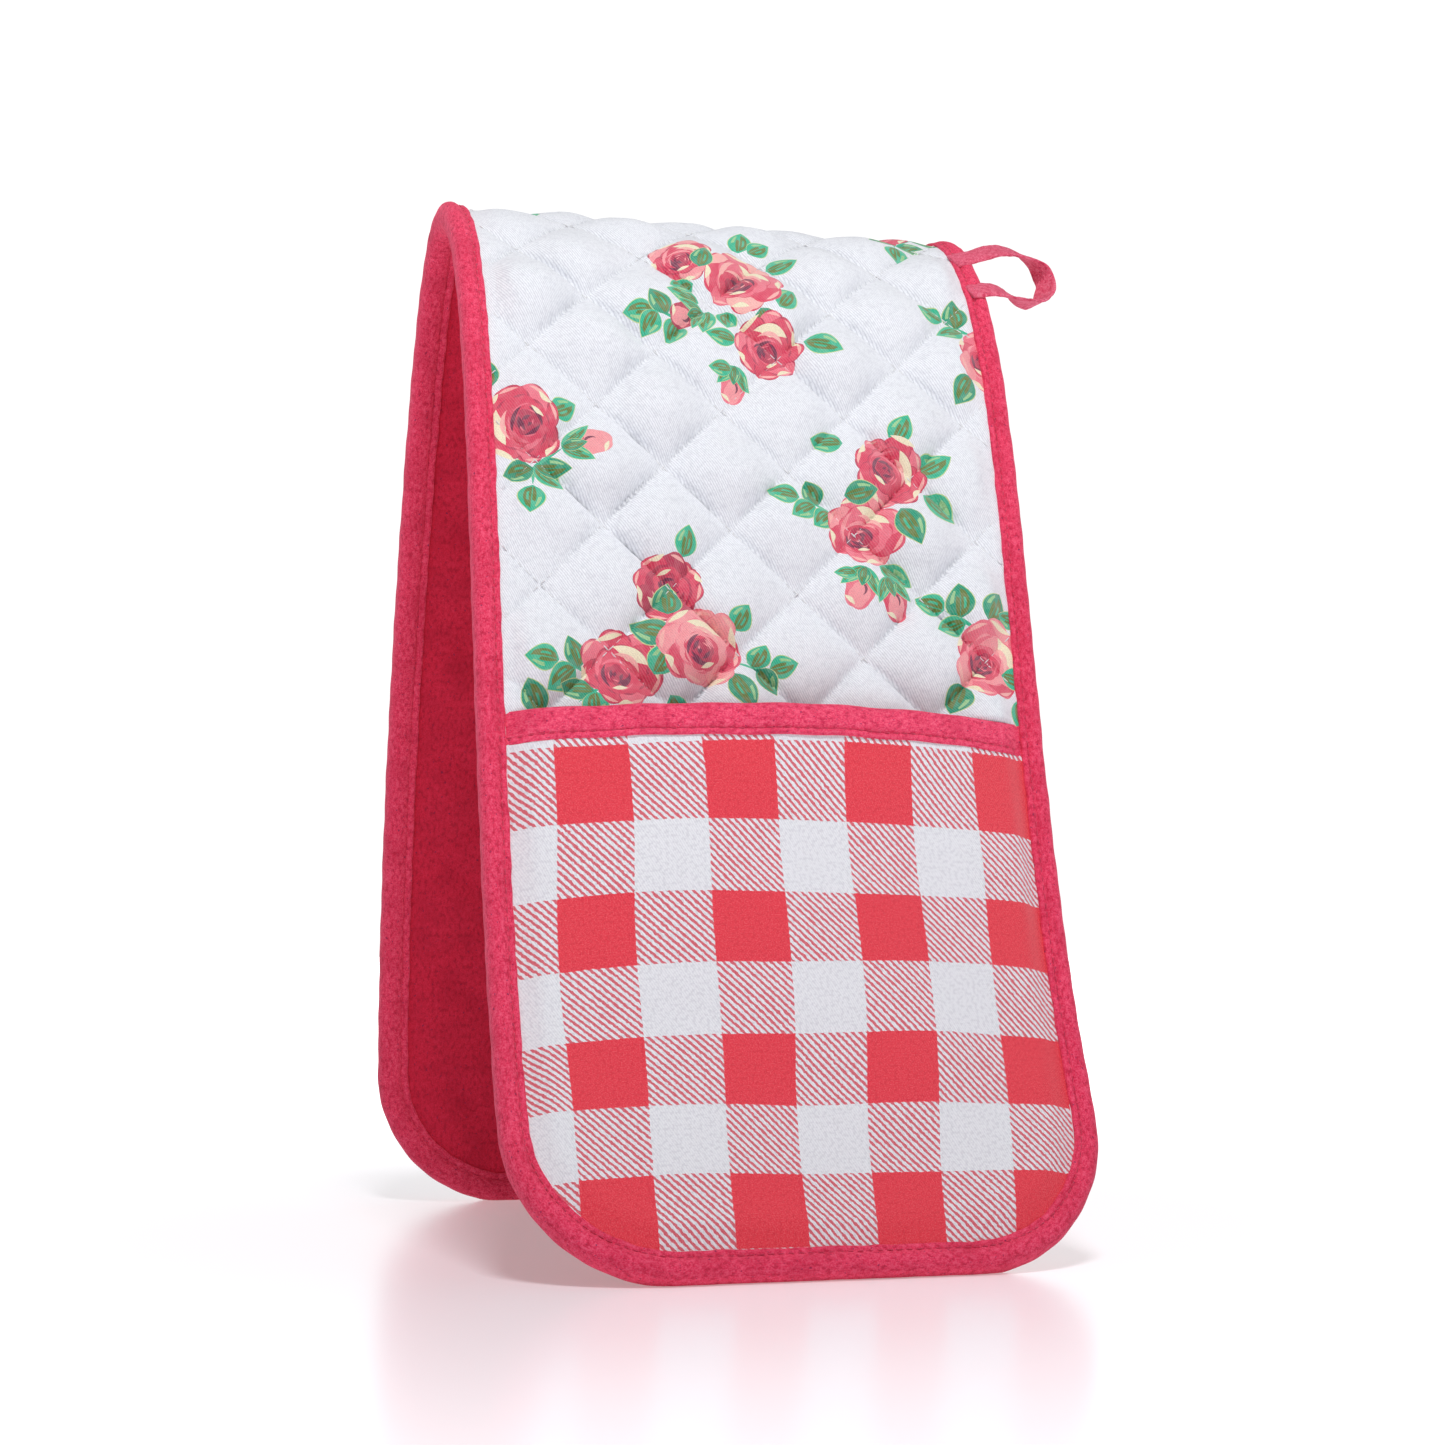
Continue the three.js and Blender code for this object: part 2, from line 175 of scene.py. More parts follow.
class Look:
    """A Principled material whose colour, roughness and bump come from nodes."""

    def __init__(self, name, roughness, sheen, sheen_tint=(1, 1, 1, 1)):
        self.material = bpy.data.materials.new(name)
        self.material.use_nodes = True
        self.tree = self.material.node_tree
        self.shader = self.tree.nodes["Principled BSDF"]
        self.shader.inputs["Roughness"].default_value = roughness
        self.shader.inputs["Sheen Weight"].default_value = sheen
        self.shader.inputs["Sheen Roughness"].default_value = 0.5
        self.shader.inputs["Sheen Tint"].default_value = sheen_tint
        self.shader.inputs["Specular IOR Level"].default_value = 0.25

    def node(self, kind, **settings):
        made = self.tree.nodes.new(kind)
        for key, value in settings.items():
            setattr(made, key, value)
        return made

    def put(self, value, socket):
        if isinstance(value, bpy.types.NodeSocket):
            self.tree.links.new(value, socket)
        else:
            socket.default_value = value

    def math(self, operation, a, b=0.0, c=0.0):
        made = self.node("ShaderNodeMath", operation=operation)
        for value, socket in zip((a, b, c), made.inputs):
            self.put(value, socket)
        return made.outputs[0]

    def cloth(self):
        """The flat cloth coordinates x and s, in millimetres, and both as a vector."""
        made = self.node("ShaderNodeAttribute", attribute_name="cloth")
        split = self.node("ShaderNodeSeparateXYZ")
        self.put(made.outputs["Vector"], split.inputs[0])
        return split.outputs[0], split.outputs[1], made.outputs["Vector"]

    def noise(self, vector, scale, detail=2.0, stretch=(1, 1, 1)):
        """Noise of about one feature per 1 / scale millimetres."""
        mapping = self.node("ShaderNodeMapping")
        mapping.inputs["Scale"].default_value = stretch
        self.put(vector, mapping.inputs["Vector"])
        made = self.node("ShaderNodeTexNoise")
        self.put(mapping.outputs[0], made.inputs["Vector"])
        made.inputs["Scale"].default_value = scale
        made.inputs["Detail"].default_value = detail
        return made.outputs[0]

    def between(self, value, low, high, to_low=0.0, to_high=1.0):
        made = self.node("ShaderNodeMapRange", interpolation_type="SMOOTHSTEP")
        for item, socket in zip((value, low, high, to_low, to_high), made.inputs):
            self.put(item, socket)
        return made.outputs[0]

    def mix(self, share, a, b, kind="MIX"):
        made = self.node("ShaderNodeMix", data_type="RGBA", blend_type=kind)
        self.put(share, made.inputs[0])
        self.put(a, made.inputs[6])
        self.put(b, made.inputs[7])
        return made.outputs[2]

    def tint(self, body, value, low, high, share, colour, kind="MIX"):
        """body with up to `share` of a colour mixed in as value goes from low to high."""
        return self.mix(self.between(value, low, high, 0.0, share), body, colour, kind)

    def wave(self, across, length):
        """A sine from 0 to 1 that repeats every `length` millimetres of `across`."""
        turns = self.math("MULTIPLY", across, 2 * math.pi / length)
        return self.math("MULTIPLY_ADD", self.math("SINE", turns), 0.5, 0.5)

    def along(self, x, s, x_share, s_share):
        """x * x_share + s * s_share."""
        return self.math("MULTIPLY_ADD", x, x_share, self.math("MULTIPLY", s, s_share))

    def colour(self, value):
        self.put(value, self.shader.inputs["Base Color"])

    def bump(self, height, distance, strength=1.0):
        made = self.node("ShaderNodeBump")
        made.inputs["Strength"].default_value = strength
        made.inputs["Distance"].default_value = distance * MM
        self.put(height, made.inputs["Height"])
        self.put(made.outputs[0], self.shader.inputs["Normal"])


def shade(red, green, blue):
    """A colour given as on a screen, from 0 to 255, as linear light."""
    linear = [((v / 255 + 0.055) / 1.055) ** 2.4 for v in (red, green, blue)]
    return (*linear, 1.0)


TWILL = 0.66  # from one ridge of the twill to the next


def twill_ridges(look, x, s, vector):
    """The twill's fine diagonal ridges, a little uneven, from 0 to 1."""
    jitter = look.math("MULTIPLY", look.noise(vector, 1.4), 0.5)
    sway = look.math("MULTIPLY_ADD", look.noise(vector, 0.05), 2.0, jitter)
    across = look.math("ADD", look.along(x, s, 0.86, 0.51), sway)
    return look.wave(across, TWILL)


def printed_twill():
    """White twill; the vertices' colour attribute `print` holds the roses."""
    look = Look("printed_twill", 0.8, 0.25)
    x, s, vector = look.cloth()
    ridges = twill_ridges(look, x, s, vector)
    printed = look.node("ShaderNodeAttribute", attribute_name="print")
    fleck = look.noise(vector, 2.3, 3.0, (1.0, 1.6, 1.0))
    patchy = look.noise(vector, 0.35, 2.0)
    grain = look.noise(vector, 0.9, 3.0)
    ink = look.tint(printed.outputs["Color"], fleck, 0.3, 0.75, 0.28, shade(70, 20, 40), "MULTIPLY")
    ink = look.tint(ink, patchy, 0.35, 0.7, 0.08, shade(255, 225, 225), "SCREEN")
    ink = look.tint(ink, ridges, 0.55, 1.0, 0.09, shade(245, 240, 240))
    plain = look.tint(shade(240, 242, 247), ridges, 0.6, 0.0, 0.45, shade(176, 178, 190))
    plain = look.tint(plain, patchy, 0.50, 0.68, 0.22, shade(200, 201, 210))
    plain = look.tint(plain, grain, 0.46, 0.64, 0.24, shade(198, 199, 208))
    look.colour(look.mix(printed.outputs["Alpha"], plain, ink))
    look.bump(look.math("MULTIPLY_ADD", look.noise(vector, 1.6), 0.6, ridges), 0.10, 0.7)
    return look.material


def checked_twill():
    """The pocket's printed check: red on red is solid, red on white is hatched."""
    look = Look("checked_twill", 0.78, 0.25)
    x, s, vector = look.cloth()
    ridges = twill_ridges(look, x, s, vector)
    wobble = look.math("MULTIPLY_ADD", look.noise(vector, 0.9, 2.0), 0.7, -0.35)

    def band(across, width):
        turns = look.math("DIVIDE", look.math("ADD", across, wobble), 2 * width)
        return look.between(look.math("FRACT", turns), 0.496, 0.504)

    column = band(x, CHECK)
    row = band(look.math("ADD", s, CHECK_HIGH), CHECK_HIGH)
    both = look.math("MULTIPLY", column, row)
    either = look.math("MAXIMUM", column, row)
    sway = look.math("MULTIPLY_ADD", look.noise(vector, 0.8, 2.0), 0.9, look.along(x, s, 0.70, 0.71))
    hatch = look.between(look.wave(sway, 1.62), 0.42, 0.66)
    speck = look.noise(vector, 2.6, 2.0)
    grain = look.noise(vector, 1.0, 3.0)
    red = look.tint(shade(226, 48, 68), speck, 0.35, 0.85, 1.0, shade(238, 100, 108))
    red = look.tint(red, grain, 0.48, 0.66, 0.40, shade(206, 34, 56))
    faded = look.tint(shade(205, 84, 100), speck, 0.3, 0.7, 1.0, shade(220, 116, 126))
    plain = look.tint(shade(234, 234, 239), ridges, 0.5, 0.0, 0.26, shade(190, 190, 202))
    plain = look.tint(plain, grain, 0.46, 0.64, 0.40, shade(196, 194, 204))
    hatched = look.mix(hatch, plain, faded)
    look.colour(look.mix(both, look.mix(either, plain, hatched), red))
    look.bump(look.math("MULTIPLY_ADD", look.noise(vector, 1.6), 0.6, ridges), 0.09, 0.6)
    return look.material


FLECK = shade(96, 30, 74)


def crimson_cloth(name, base, dark, light, roughness, sheen, fuzz):
    """Brushed cotton with darker and lighter fibres mixed in."""
    look = Look(name, roughness, sheen, shade(255, 150, 175))
    x, s, vector = look.cloth()
    fibres = look.noise(vector, 2.4, 4.0, (1.0, 0.7, 1.0))
    flecks = look.noise(vector, 1.0, 2.0, (1.0, 0.8, 1.0))
    cloudy = look.noise(vector, 0.10, 3.0)
    mottled = look.noise(vector, 0.85, 3.0, (1.0, 0.6, 1.0))
    body = look.tint(base, fibres, 0.35, 0.72, 0.8, light)
    body = look.tint(body, mottled, 0.50, 0.68, 0.65, dark)
    body = look.tint(body, mottled, 0.48, 0.32, 0.55, light)
    body = look.tint(body, flecks, 0.66, 0.73, 0.8, FLECK)
    body = look.tint(body, cloudy, 0.40, 0.7, 0.3, dark)
    look.colour(body)
    weave = look.math("MULTIPLY", look.wave(x, 0.62), look.wave(s, 0.62))
    height = look.math("MULTIPLY_ADD", fibres, 1.2, look.math("MULTIPLY", weave, 0.5))
    look.bump(height, fuzz, 0.8)
    return look.material


def wadding_felt():
    look = Look("wadding_felt", 0.95, 0.2)
    _, _, vector = look.cloth()
    tufts = look.noise(vector, 0.5, 5.0)
    look.colour(look.tint(shade(226, 222, 210), tufts, 0.35, 0.65, 1.0, shade(246, 244, 238)))
    look.bump(tufts, 0.6, 0.8)
    return look.material


def thread(name, base, dark):
    """Twisted sewing thread."""
    look = Look(name, 0.55, 0.3)
    x, s, _ = look.cloth()
    ply = look.wave(look.along(x, s, 1.0, 1.0), 0.45)
    look.colour(look.tint(dark, ply, 0.2, 0.8, 1.0, base))
    look.bump(ply, 0.05, 0.6)
    return look.material


PRINTED = printed_twill()
CHECKED = checked_twill()
TAPE = crimson_cloth(
    "crimson_tape", shade(222, 40, 80), shade(182, 20, 56), shade(246, 96, 130), 0.85, 0.3, 0.14
)
# Painted light: the pocket mouths get a lighter copy of the binding tape, to lift the shade the mouth
# bands lie in
LIT_MOUTH_TAPE = crimson_cloth(
    "mouth_tape", shade(232, 50, 92), shade(192, 26, 66), shade(250, 108, 140), 0.85, 0.3, 0.14
)
LOOP_TAPE = crimson_cloth(
    "loop_tape", shade(216, 62, 98), shade(190, 30, 68), shade(240, 134, 156), 0.85, 0.7, 0.2
)
LINING = crimson_cloth(
    "crimson_lining", shade(204, 29, 60), shade(166, 20, 50), shade(224, 50, 84), 0.9, 0.25, 0.10
)
WADDING = wadding_felt()
WHITE_THREAD = thread("white_thread", shade(250, 250, 250), shade(206, 206, 212))
CRIMSON_THREAD = thread("crimson_thread", shade(222, 56, 96), shade(184, 34, 74))


# ---- meshes


def piece(name, points, faces, cloth, look, colours=None):
    """A mesh object. cloth holds each vertex's flat x and s, for the material's patterns."""
    mesh = bpy.data.meshes.new(name)
    mesh.from_pydata(np.asarray(points, float).reshape(-1, 3).tolist(), [], faces)
    flat = mesh.attributes.new("cloth", "FLOAT_VECTOR", "POINT")
    vectors = np.zeros((len(mesh.vertices), 3), np.float32)
    vectors[:, :2] = np.asarray(cloth, float).reshape(-1, 2)
    flat.data.foreach_set("vector", vectors.ravel())
    if colours is not None:
        layer = mesh.color_attributes.new("print", "FLOAT_COLOR", "CORNER")
        corners = np.repeat(np.asarray(colours, np.float32), 3, axis=0)
        layer.data.foreach_set("color", corners.ravel())
    mesh.materials.append(look)
    mesh.shade_smooth()
    made = bpy.data.objects.new(name, mesh)
    bpy.context.scene.collection.objects.link(made)
    return made


def grid_faces(rows, columns, wrap=False, flip=False):
    """Quads of a grid of points in rows; wrap joins the last column to the first."""
    r = np.arange(rows - 1)[:, None] * columns
    c = np.arange(columns if wrap else columns - 1)[None, :]
    after = (c + 1) % columns
    quads = np.stack([r + c, r + after, r + columns + after, r + columns + c], -1)
    quads = quads.reshape(-1, 4)
    return (quads[:, ::-1] if flip else quads).tolist()


def curve_through(points, count):
    """`count` points evenly spaced along a smooth curve through some points."""
    p = np.asarray(points, float)
    p = np.vstack([2 * p[0] - p[1], p, 2 * p[-1] - p[-2]])
    fine = []
    for a, b, c, d in zip(p[:-3], p[1:-2], p[2:-1], p[3:]):
        for t in np.linspace(0, 1, 24, endpoint=False):
            fine.append(
                0.5 * (2 * b + (c - a) * t + (2 * a - 5 * b + 4 * c - d) * t**2)
                + 0.5 * (3 * b - a - 3 * c + d) * t**3
            )
    fine.append(p[-2])
    fine = np.array(fine)
    gone = distance_along(fine)
    at = np.linspace(0, gone[-1], count)
    return np.stack([np.interp(at, gone, fine[:, k]) for k in range(fine.shape[1])], -1)


# ---- the quilting


def diamonds(x, s):
    """0 on the quilting seams and 1 in the middle of each diamond."""
    u = np.abs(np.sin(math.pi * (x - s - QUILT_U) / QUILT))
    v = np.abs(np.sin(math.pi * (x + s - QUILT_V) / QUILT))
    return (u * v) ** 0.62


def stitch_dimples(x, s):
    """Small dents where the quilting thread goes down, along the seams."""
    dents = 0
    for across, along in ((x - s - QUILT_U, x + s), (x + s - QUILT_V, x - s)):
        off = (across / QUILT - np.round(across / QUILT)) * QUILT / 2**0.5
        beat = 0.5 + 0.5 * np.cos(2 * math.pi * along / 2**0.5 / QUILT_PITCH)
        dents = dents + beat * np.exp(-((off / 1.1) ** 2))
    return dents


def outer_depth(x, s):
    """Depth of the pad's quilted outer face."""
    tuck = smooth(LIP - 1, LIP + 9, edge_distance(x, s))
    taut = 0.5 + 0.5 * smooth(6, 60, np.abs(s))
    puff = QUILT_PUFF * taut * diamonds(x, s) * (1 + 0.28 * wrinkle(x, s, 60, 3))
    crease = 0.2 * wrinkle(x, s, 13, 5) * (1 - 0.5 * diamonds(x, s))
    depth = 1.25 + tuck * (1.5 - puff + crease + 0.22 * stitch_dimples(x, s))
    for half in (FRONT, REAR):
        under_pocket = (s * half.side > half.mouth) & (edge_distance(x, s) > LIP - 2)
        pressed = np.maximum(depth, 1.8 - POCKET_BOW * pocket_bow(half, x, np.abs(s)))
        depth = np.where(under_pocket, pressed, depth)
    return depth


def inner_depth(x, s):
    """Depth of the pad's lining face."""
    tuck = smooth(9, 19, edge_distance(x, s))
    puff = LINING_PUFF * diamonds(x, s) * (1 + 0.2 * wrinkle(x, s, 50, 11))
    return 7.35 - tuck * (0.9 - puff + 0.15 * wrinkle(x, s, 14, 12))


# ---- the printed roses

INK = {
    "coral": (255, 186, 180),
    "pink": (252, 158, 164),
    "rose": (244, 118, 138),
    "red": (228, 70, 102),
    "deep": (192, 50, 86),
    "plum": (122, 40, 76),
    "cream": (250, 240, 206),
    "teal": (44, 192, 150),
    "green": (30, 160, 124),
    "olive": (104, 128, 56),
    "light": (158, 212, 150),
    "yellow": (206, 222, 150),
}
INK = {name: shade(*screen) for name, screen in INK.items()}


ROSE_SIZE = 0.92  # shares of the sizes given in the posies
LEAF_LENGTH = 1.14
LEAF_WIDTH = 1.2


class Print:
    """Shapes of one colour each, painted one over the other. y grows towards the ridge."""

    def __init__(self):
        self.shapes = []
        self.move = (0.0, 0.0)

    def shape(self, ink, x, y):
        self.shapes.append((ink, np.stack([x + self.move[0], y + self.move[1]], -1)))

    def lobes(self, ink, x, y, size, lobes, bite=0.12, turn=0.0, flat=1.0, tilt=0.0):
        """A round shape with scallops."""
        a = np.linspace(0, 2 * math.pi, lobes * 6, endpoint=False)
        r = size * (1 - bite + bite * np.abs(np.sin(lobes * a / 2 + turn)) ** 0.7)
        px, py = r * np.cos(a), r * np.sin(a) * flat
        c, d = math.cos(tilt), math.sin(tilt)
        self.shape(ink, x + px * c - py * d, y + px * d + py * c)

    def crescent(self, ink, x, y, size, start, sweep, width):
        """A sliver along an arc. start and sweep are in degrees."""
        t = np.linspace(0, 1, 11)
        a = np.radians(start + sweep * t)
        inner = size - width * np.sin(math.pi * t) ** 0.8
        px = np.concatenate([size * np.cos(a), (inner * np.cos(a))[-2:0:-1]])
        py = np.concatenate([size * np.sin(a), (inner * np.sin(a))[-2:0:-1]])
        self.shape(ink, x + px, y + py)

    def blade(self, ink, x, y, length, width, angle, low=-1.0, high=1.0, start=0.0, end=1.0):
        """A leaf shape, or the part of it between two shares of its width and length."""
        t = np.linspace(start, end, 10)
        half = width / 2 * np.sin(math.pi * t**0.8) ** 0.9
        along = np.concatenate([t, t[-2:0:-1]]) * length
        side = np.concatenate([half * high, (half * low)[-2:0:-1]])
        c, d = math.cos(math.radians(angle)), math.sin(math.radians(angle))
        self.shape(ink, x + along * c - side * d, y + along * d + side * c)

    def leaf(self, x, y, length, width, angle, dark=False):
        """A leaf whose stalk is at (x, y)."""
        length, width = LEAF_LENGTH * length, LEAF_WIDTH * width
        self.blade("yellow", x, y, length * 1.02, width * 1.07, angle)
        self.blade("green" if dark else "teal", x, y, length, width, angle)
        self.blade("olive", x, y, length, width, angle, -0.62, -0.03, 0.06, 0.86)
        self.blade("olive", x, y, length, width, angle, 0.05, 0.34, 0.05, 0.62)
        self.blade("teal", x, y, length, width, angle, -0.40, -0.22, 0.25, 0.6)
        self.blade("light", x, y, length, width, angle, 0.46, 0.74, 0.40, 0.80)

    def leaves(self, *leaves):
        for leaf in leaves:
            self.leaf(*leaf)

    def spray(self, x, y, length, angle, leaves):
        """A stem with leaves on it: (share along it, side, length, width) each."""
        self.blade("teal", x, y, length, 1.1, angle, start=0.0, end=0.98)
        c, d = math.cos(math.radians(angle)), math.sin(math.radians(angle))
        for share, side, leaf_length, width in leaves:
            at = (x + c * length * share, y + d * length * share)
            self.leaf(*at, leaf_length, width, angle + side, dark=side < 0)

    def rose(self, x, y, size, turn, main="rose", edge="pink", seed=1):
        """An open rose, its cup towards `turn` degrees."""
        size = ROSE_SIZE * size
        rng = np.random.RandomState(seed)
        away = math.radians(turn)
        heart = (x - 0.18 * size * math.cos(away), y - 0.18 * size * math.sin(away))
        tones = (edge, main, edge, "red", main, edge, "red", main)
        rim = {"pink": "rose", "rose": "red"}.get(main, "deep")
        self.lobes(main, x, y, size * 0.92, 11, 0.12, rng.rand() * 3)
        for k in range(8):
            angle = turn + 45 * k + 16 * rng.rand()
            a = math.radians(angle)
            out = size * (0.56 + 0.10 * rng.rand())
            at = (x + out * math.cos(a), y + out * math.sin(a))
            wide = size * (0.36 + 0.10 * rng.rand())
            self.lobes(rim, *at, wide * 1.04, 5, 0.12, rng.rand() * 3)
            self.lobes(tones[k], *at, wide, 5, 0.14, rng.rand() * 3)
            self.crescent("coral", *at, wide * 0.86, angle - 45, 80, wide * 0.22)
            self.crescent("red", *at, wide * 0.62, angle + 120, 100, wide * 0.30)
        for start, sweep, out in ((28, 44, 0.96), (205, 26, 0.95), (-70, 30, 0.93), (120, 22, 0.97)):
            self.crescent("cream", x, y, size * out, turn + start, sweep, size * 0.14)
        self.lobes(rim, x, y, size * 0.70, 9, 0.10, rng.rand() * 3)
        self.lobes(main, x, y, size * 0.68, 9, 0.12, rng.rand() * 3)
        self.crescent(edge, x, y, size * 0.62, turn + 60, 150, size * 0.16)
        self.crescent("cream", x, y, size * 0.66, turn - 46, 94, size * 0.34)
        self.crescent("coral", x, y, size * 0.46, turn - 60, 110, size * 0.12)
        self.lobes("red", *heart, size * 0.48, 8, 0.12, rng.rand() * 3)
        self.crescent(edge, *heart, size * 0.46, turn - 30, 120, size * 0.10)
        self.lobes("deep", *heart, size * 0.32, 6, 0.24, rng.rand() * 3)
        for k in range(7):
            reach = size * (0.10 + 0.05 * k)
            start = 360 * rng.rand()
            self.crescent("plum", *heart, reach, start, 70 + 50 * rng.rand(), size * 0.10)
            start = 360 * rng.rand()
            self.crescent(edge, *heart, reach + size * 0.03, start, 60, size * 0.04)
        self.crescent("cream", *heart, size * 0.40, turn + 190, 60, size * 0.11)

    def bud(self, x, y, size, angle, main="rose"):
        """A closed rose on its stalk at (x, y), pointing to `angle` degrees."""
        c, d = math.cos(math.radians(angle)), math.sin(math.radians(angle))
        at = (x + c * size * 0.95, y + d * size * 0.95)
        tilt = math.radians(angle)
        self.lobes(main, *at, size * 0.80, 5, 0.10, 0.4, 0.72, tilt)
        self.lobes("pink", *(at + np.array([c, d]) * size * 0.22), size * 0.5, 4, 0.14, 1, 0.8, tilt)
        self.crescent("red", *at, size * 0.50, angle + 100, 130, size * 0.28)
        self.crescent("cream", *at, size * 0.62, angle - 55, 50, size * 0.16)
        self.crescent("plum", *at, size * 0.24, angle + 30, 160, size * 0.10)
        for side, share in ((-38, 1.05), (34, 1.15), (0, 0.75)):
            self.leaf(x - c * 0.3, y - d * 0.3, size * share, size * 0.42, angle + side, side == 0)


def posy_trio(p):
    """Three roses in a slanting row, two buds and leaves."""
    p.leaves(
        (6, 23, 9, 6.5, 75), (9, 22, 8, 6, 30), (14, 14, 10, 6.5, 20), (21, -19, 11, 7, -25),
        (13, -9, 9, 6.5, 52), (-2, -21, 9, 6, 165), (-3, -8, 7, 6, -100),
    )
    leaves = [(0.98, 10, 8.5, 6.5), (0.65, -52, 9, 6.5), (0.35, 75, 8.5, 6.5), (0.9, 66, 8, 6)]
    p.spray(-15, -14, 14, 172, leaves)
    p.leaves((-12, -5, 10, 6, 165), (-9, -8, 10, 5, 250))
    p.bud(-11, -8, 7.6, 205, "deep")
    p.bud(-3, -30, 7.5, 262)
    p.leaf(-4, -31, 7, 4.5, 178)
    p.rose(-15.5, 13.5, 10.8, 60, "red", "pink", 4)
    p.rose(3.5, 4.5, 14.2, 40, "rose", "coral", 5)
    p.leaves((-11, 8, 8, 6, 70, True), (-13, 3, 8, 6, 200), (7, -9, 9, 6, -70, True))
    p.rose(9, -21.5, 12.4, 75, "red", "rose", 6)


def posy_single(p):
    """One large rose with a bud beside it."""
    p.leaves((9, 4, 8, 6.5, 28), (-9, 13, 10, 7, 110, True))
    p.spray(3, -13, 7.5, 262, [(0.1, -62, 9, 6), (0.1, 58, 10, 5.5), (1.0, 0, 8, 7)])
    p.leaf(3, -13, 10, 5.5, -8, True)
    p.bud(12, -7, 9, 8, "pink")
    p.blade("teal", 3, -13, 11, 1.2, 32)
    p.rose(-1, 0, 14.2, 190, "red", "rose", 7)


def posy_pair(p):
    """Two roses, two hanging buds and a spray to the left."""
    p.leaves((-7, 20, 9, 6.5, 170), (10, 21, 9, 6.5, 60), (18, 12, 11, 7.5, 25), (19, 4, 12, 7.5, -40))
    p.spray(-9, -4, 14.5, 160, [(1.0, 5, 9, 6.5), (0.55, -50, 8, 6), (0.62, 50, 9, 6), (0.22, 60, 8, 6)])
    p.leaf(2, -21, 11, 6, -28)
    p.bud(-3, -22, 8.6, 252, "rose")
    p.bud(4, -25, 8.4, 286, "red")
    p.leaf(-6, -24, 6, 3.6, 175)
    p.rose(-1.5, -9, 13, 60, "rose", "pink", 8)
    p.rose(8.5, 11.5, 13.6, 15, "red", "rose", 9)
    p.leaves((10, -2, 12, 7.5, -68, True), (-8, 2, 10, 6, 12, True))


def posy_fan(p):
    """A dark, a pink and a red rose with sprays on both sides."""
    p.leaves((3, 26, 9, 6, 78), (18, 3, 8, 6.5, 58))
    p.spray(-24, -12, 14, 168, [(1.0, 4, 9, 6.5), (0.5, -58, 9, 6), (0.6, 52, 10, 6.5)])
    p.spray(-24, -16, 10, 215, [(0.35, -48, 9, 6), (0.35, 55, 9, 6.5)])
    p.bud(-24, -33, 7.4, 222, "red")
    p.spray(18, -7, 11, -12, [(1.0, 24, 8, 6), (0.55, 70, 7, 6), (0.7, -48, 9, 6)])
    p.leaves((17, -11, 12, 7.5, -72, True), (-3, -18, 13, 6, -58))
    p.rose(-2, 16, 12.2, 250, "deep", "red", 10)
    p.rose(-18, -10.5, 13.6, 55, "red", "rose", 11)
    p.leaves((-3, 7, 10, 7.5, 82, True), (-3, -1, 11, 7.5, 155, True), (-8, -12, 10, 7.5, 60))
    p.rose(7, -3, 14.2, 75, "pink", "pink", 12)


def posy_side(p):
    """A pale rose with leaves above and below."""
    p.spray(-3, 10, 11, 145, [(1.0, 10, 8.5, 6.5), (0.5, -55, 10, 7), (0.3, 50, 9, 6)])
    p.leaves(
        (1, 12, 10, 7.5, 60, True), (-7, -8, 10, 7, 238, True), (11, -12, 11, 7, -82),
        (13, 13, 7, 5, 165),
    )
    p.rose(2, 0, 13.8, 20, "pink", "rose", 13)
    p.leaf(6, -4, 9, 6, -20)


POSIES = (
    (posy_trio, 0.0, -57.0),
    (posy_single, -73.0, -112.0),
    (posy_pair, 37.0, -133.0),
    (posy_fan, -28.0, -180.0),
    (posy_side, 72.0, -184.0),
    (posy_single, 62.0, -2.0),
    (posy_side, 84.0, -78.0),
    (posy_single, -62.0, 18.0),
)
REPEAT = 236.0  # the length of cloth after which the print starts again


def printed_shapes():
    paint = Print()
    for turn in (-1, 0, 1, 2):
        for posy, x, s in POSIES:
            middle = s + turn * REPEAT
            if -FRONT.length - 40 < middle < REAR.length + 40:
                paint.move = (x, middle)
                posy(paint)
    return paint.shapes


# ---- the pad


def outline(inset, step):
    """The pad's outline, `inset` inside its edge, as points (x, s) anticlockwise."""
    round_off = CORNER - inset
    corners = []
    for half, sides in ((FRONT, (-1, 1)), (REAR, (1, -1))):
        for side in sides:
            angles = np.linspace(0, math.pi / 2, int(round_off * math.pi / 2 / step))
            if side == half.side * -1:
                angles = angles[::-1]
            x = side * (WIDTH / 2 - CORNER + round_off * np.cos(angles))
            s = half.side * (half.length - CORNER + round_off * np.sin(angles))
            corners.append(np.stack([x, s], -1))
    return divided(np.concatenate(corners), step)


def divided(loop, step):
    """A closed loop with points added along its long sides."""
    points = []
    for start, end in zip(loop, np.roll(loop, -1, axis=0)):
        count = max(1, int(np.hypot(*(end - start)) / step))
        shares = np.linspace(0, 1, count, endpoint=False)[:, None]
        points.append(start + (end - start) * shares)
    return np.concatenate(points)


def lattice(cell):
    """Points on a square grid that holds the quilting seams."""
    columns = np.arange(-72, 73)
    rows = np.arange(-300, 301)
    x = (QUILT_U + QUILT_V) / 2 + columns * cell
    s = (QUILT_V - QUILT_U) / 2 + rows * cell
    return np.stack(np.meshgrid(x, s), -1).reshape(-1, 2)


def inside(points, loop):
    """Which points are inside a closed loop."""
    x, y = points[:, :1], points[:, 1:]
    x1, y1 = loop.T
    x2, y2 = np.roll(loop, -1, axis=0).T
    rise = np.where(y2 == y1, 1e-9, y2 - y1)
    crosses = ((y1 > y) != (y2 > y)) & (x < x1 + (y - y1) * (x2 - x1) / rise)
    return crosses.sum(axis=1) % 2 == 1


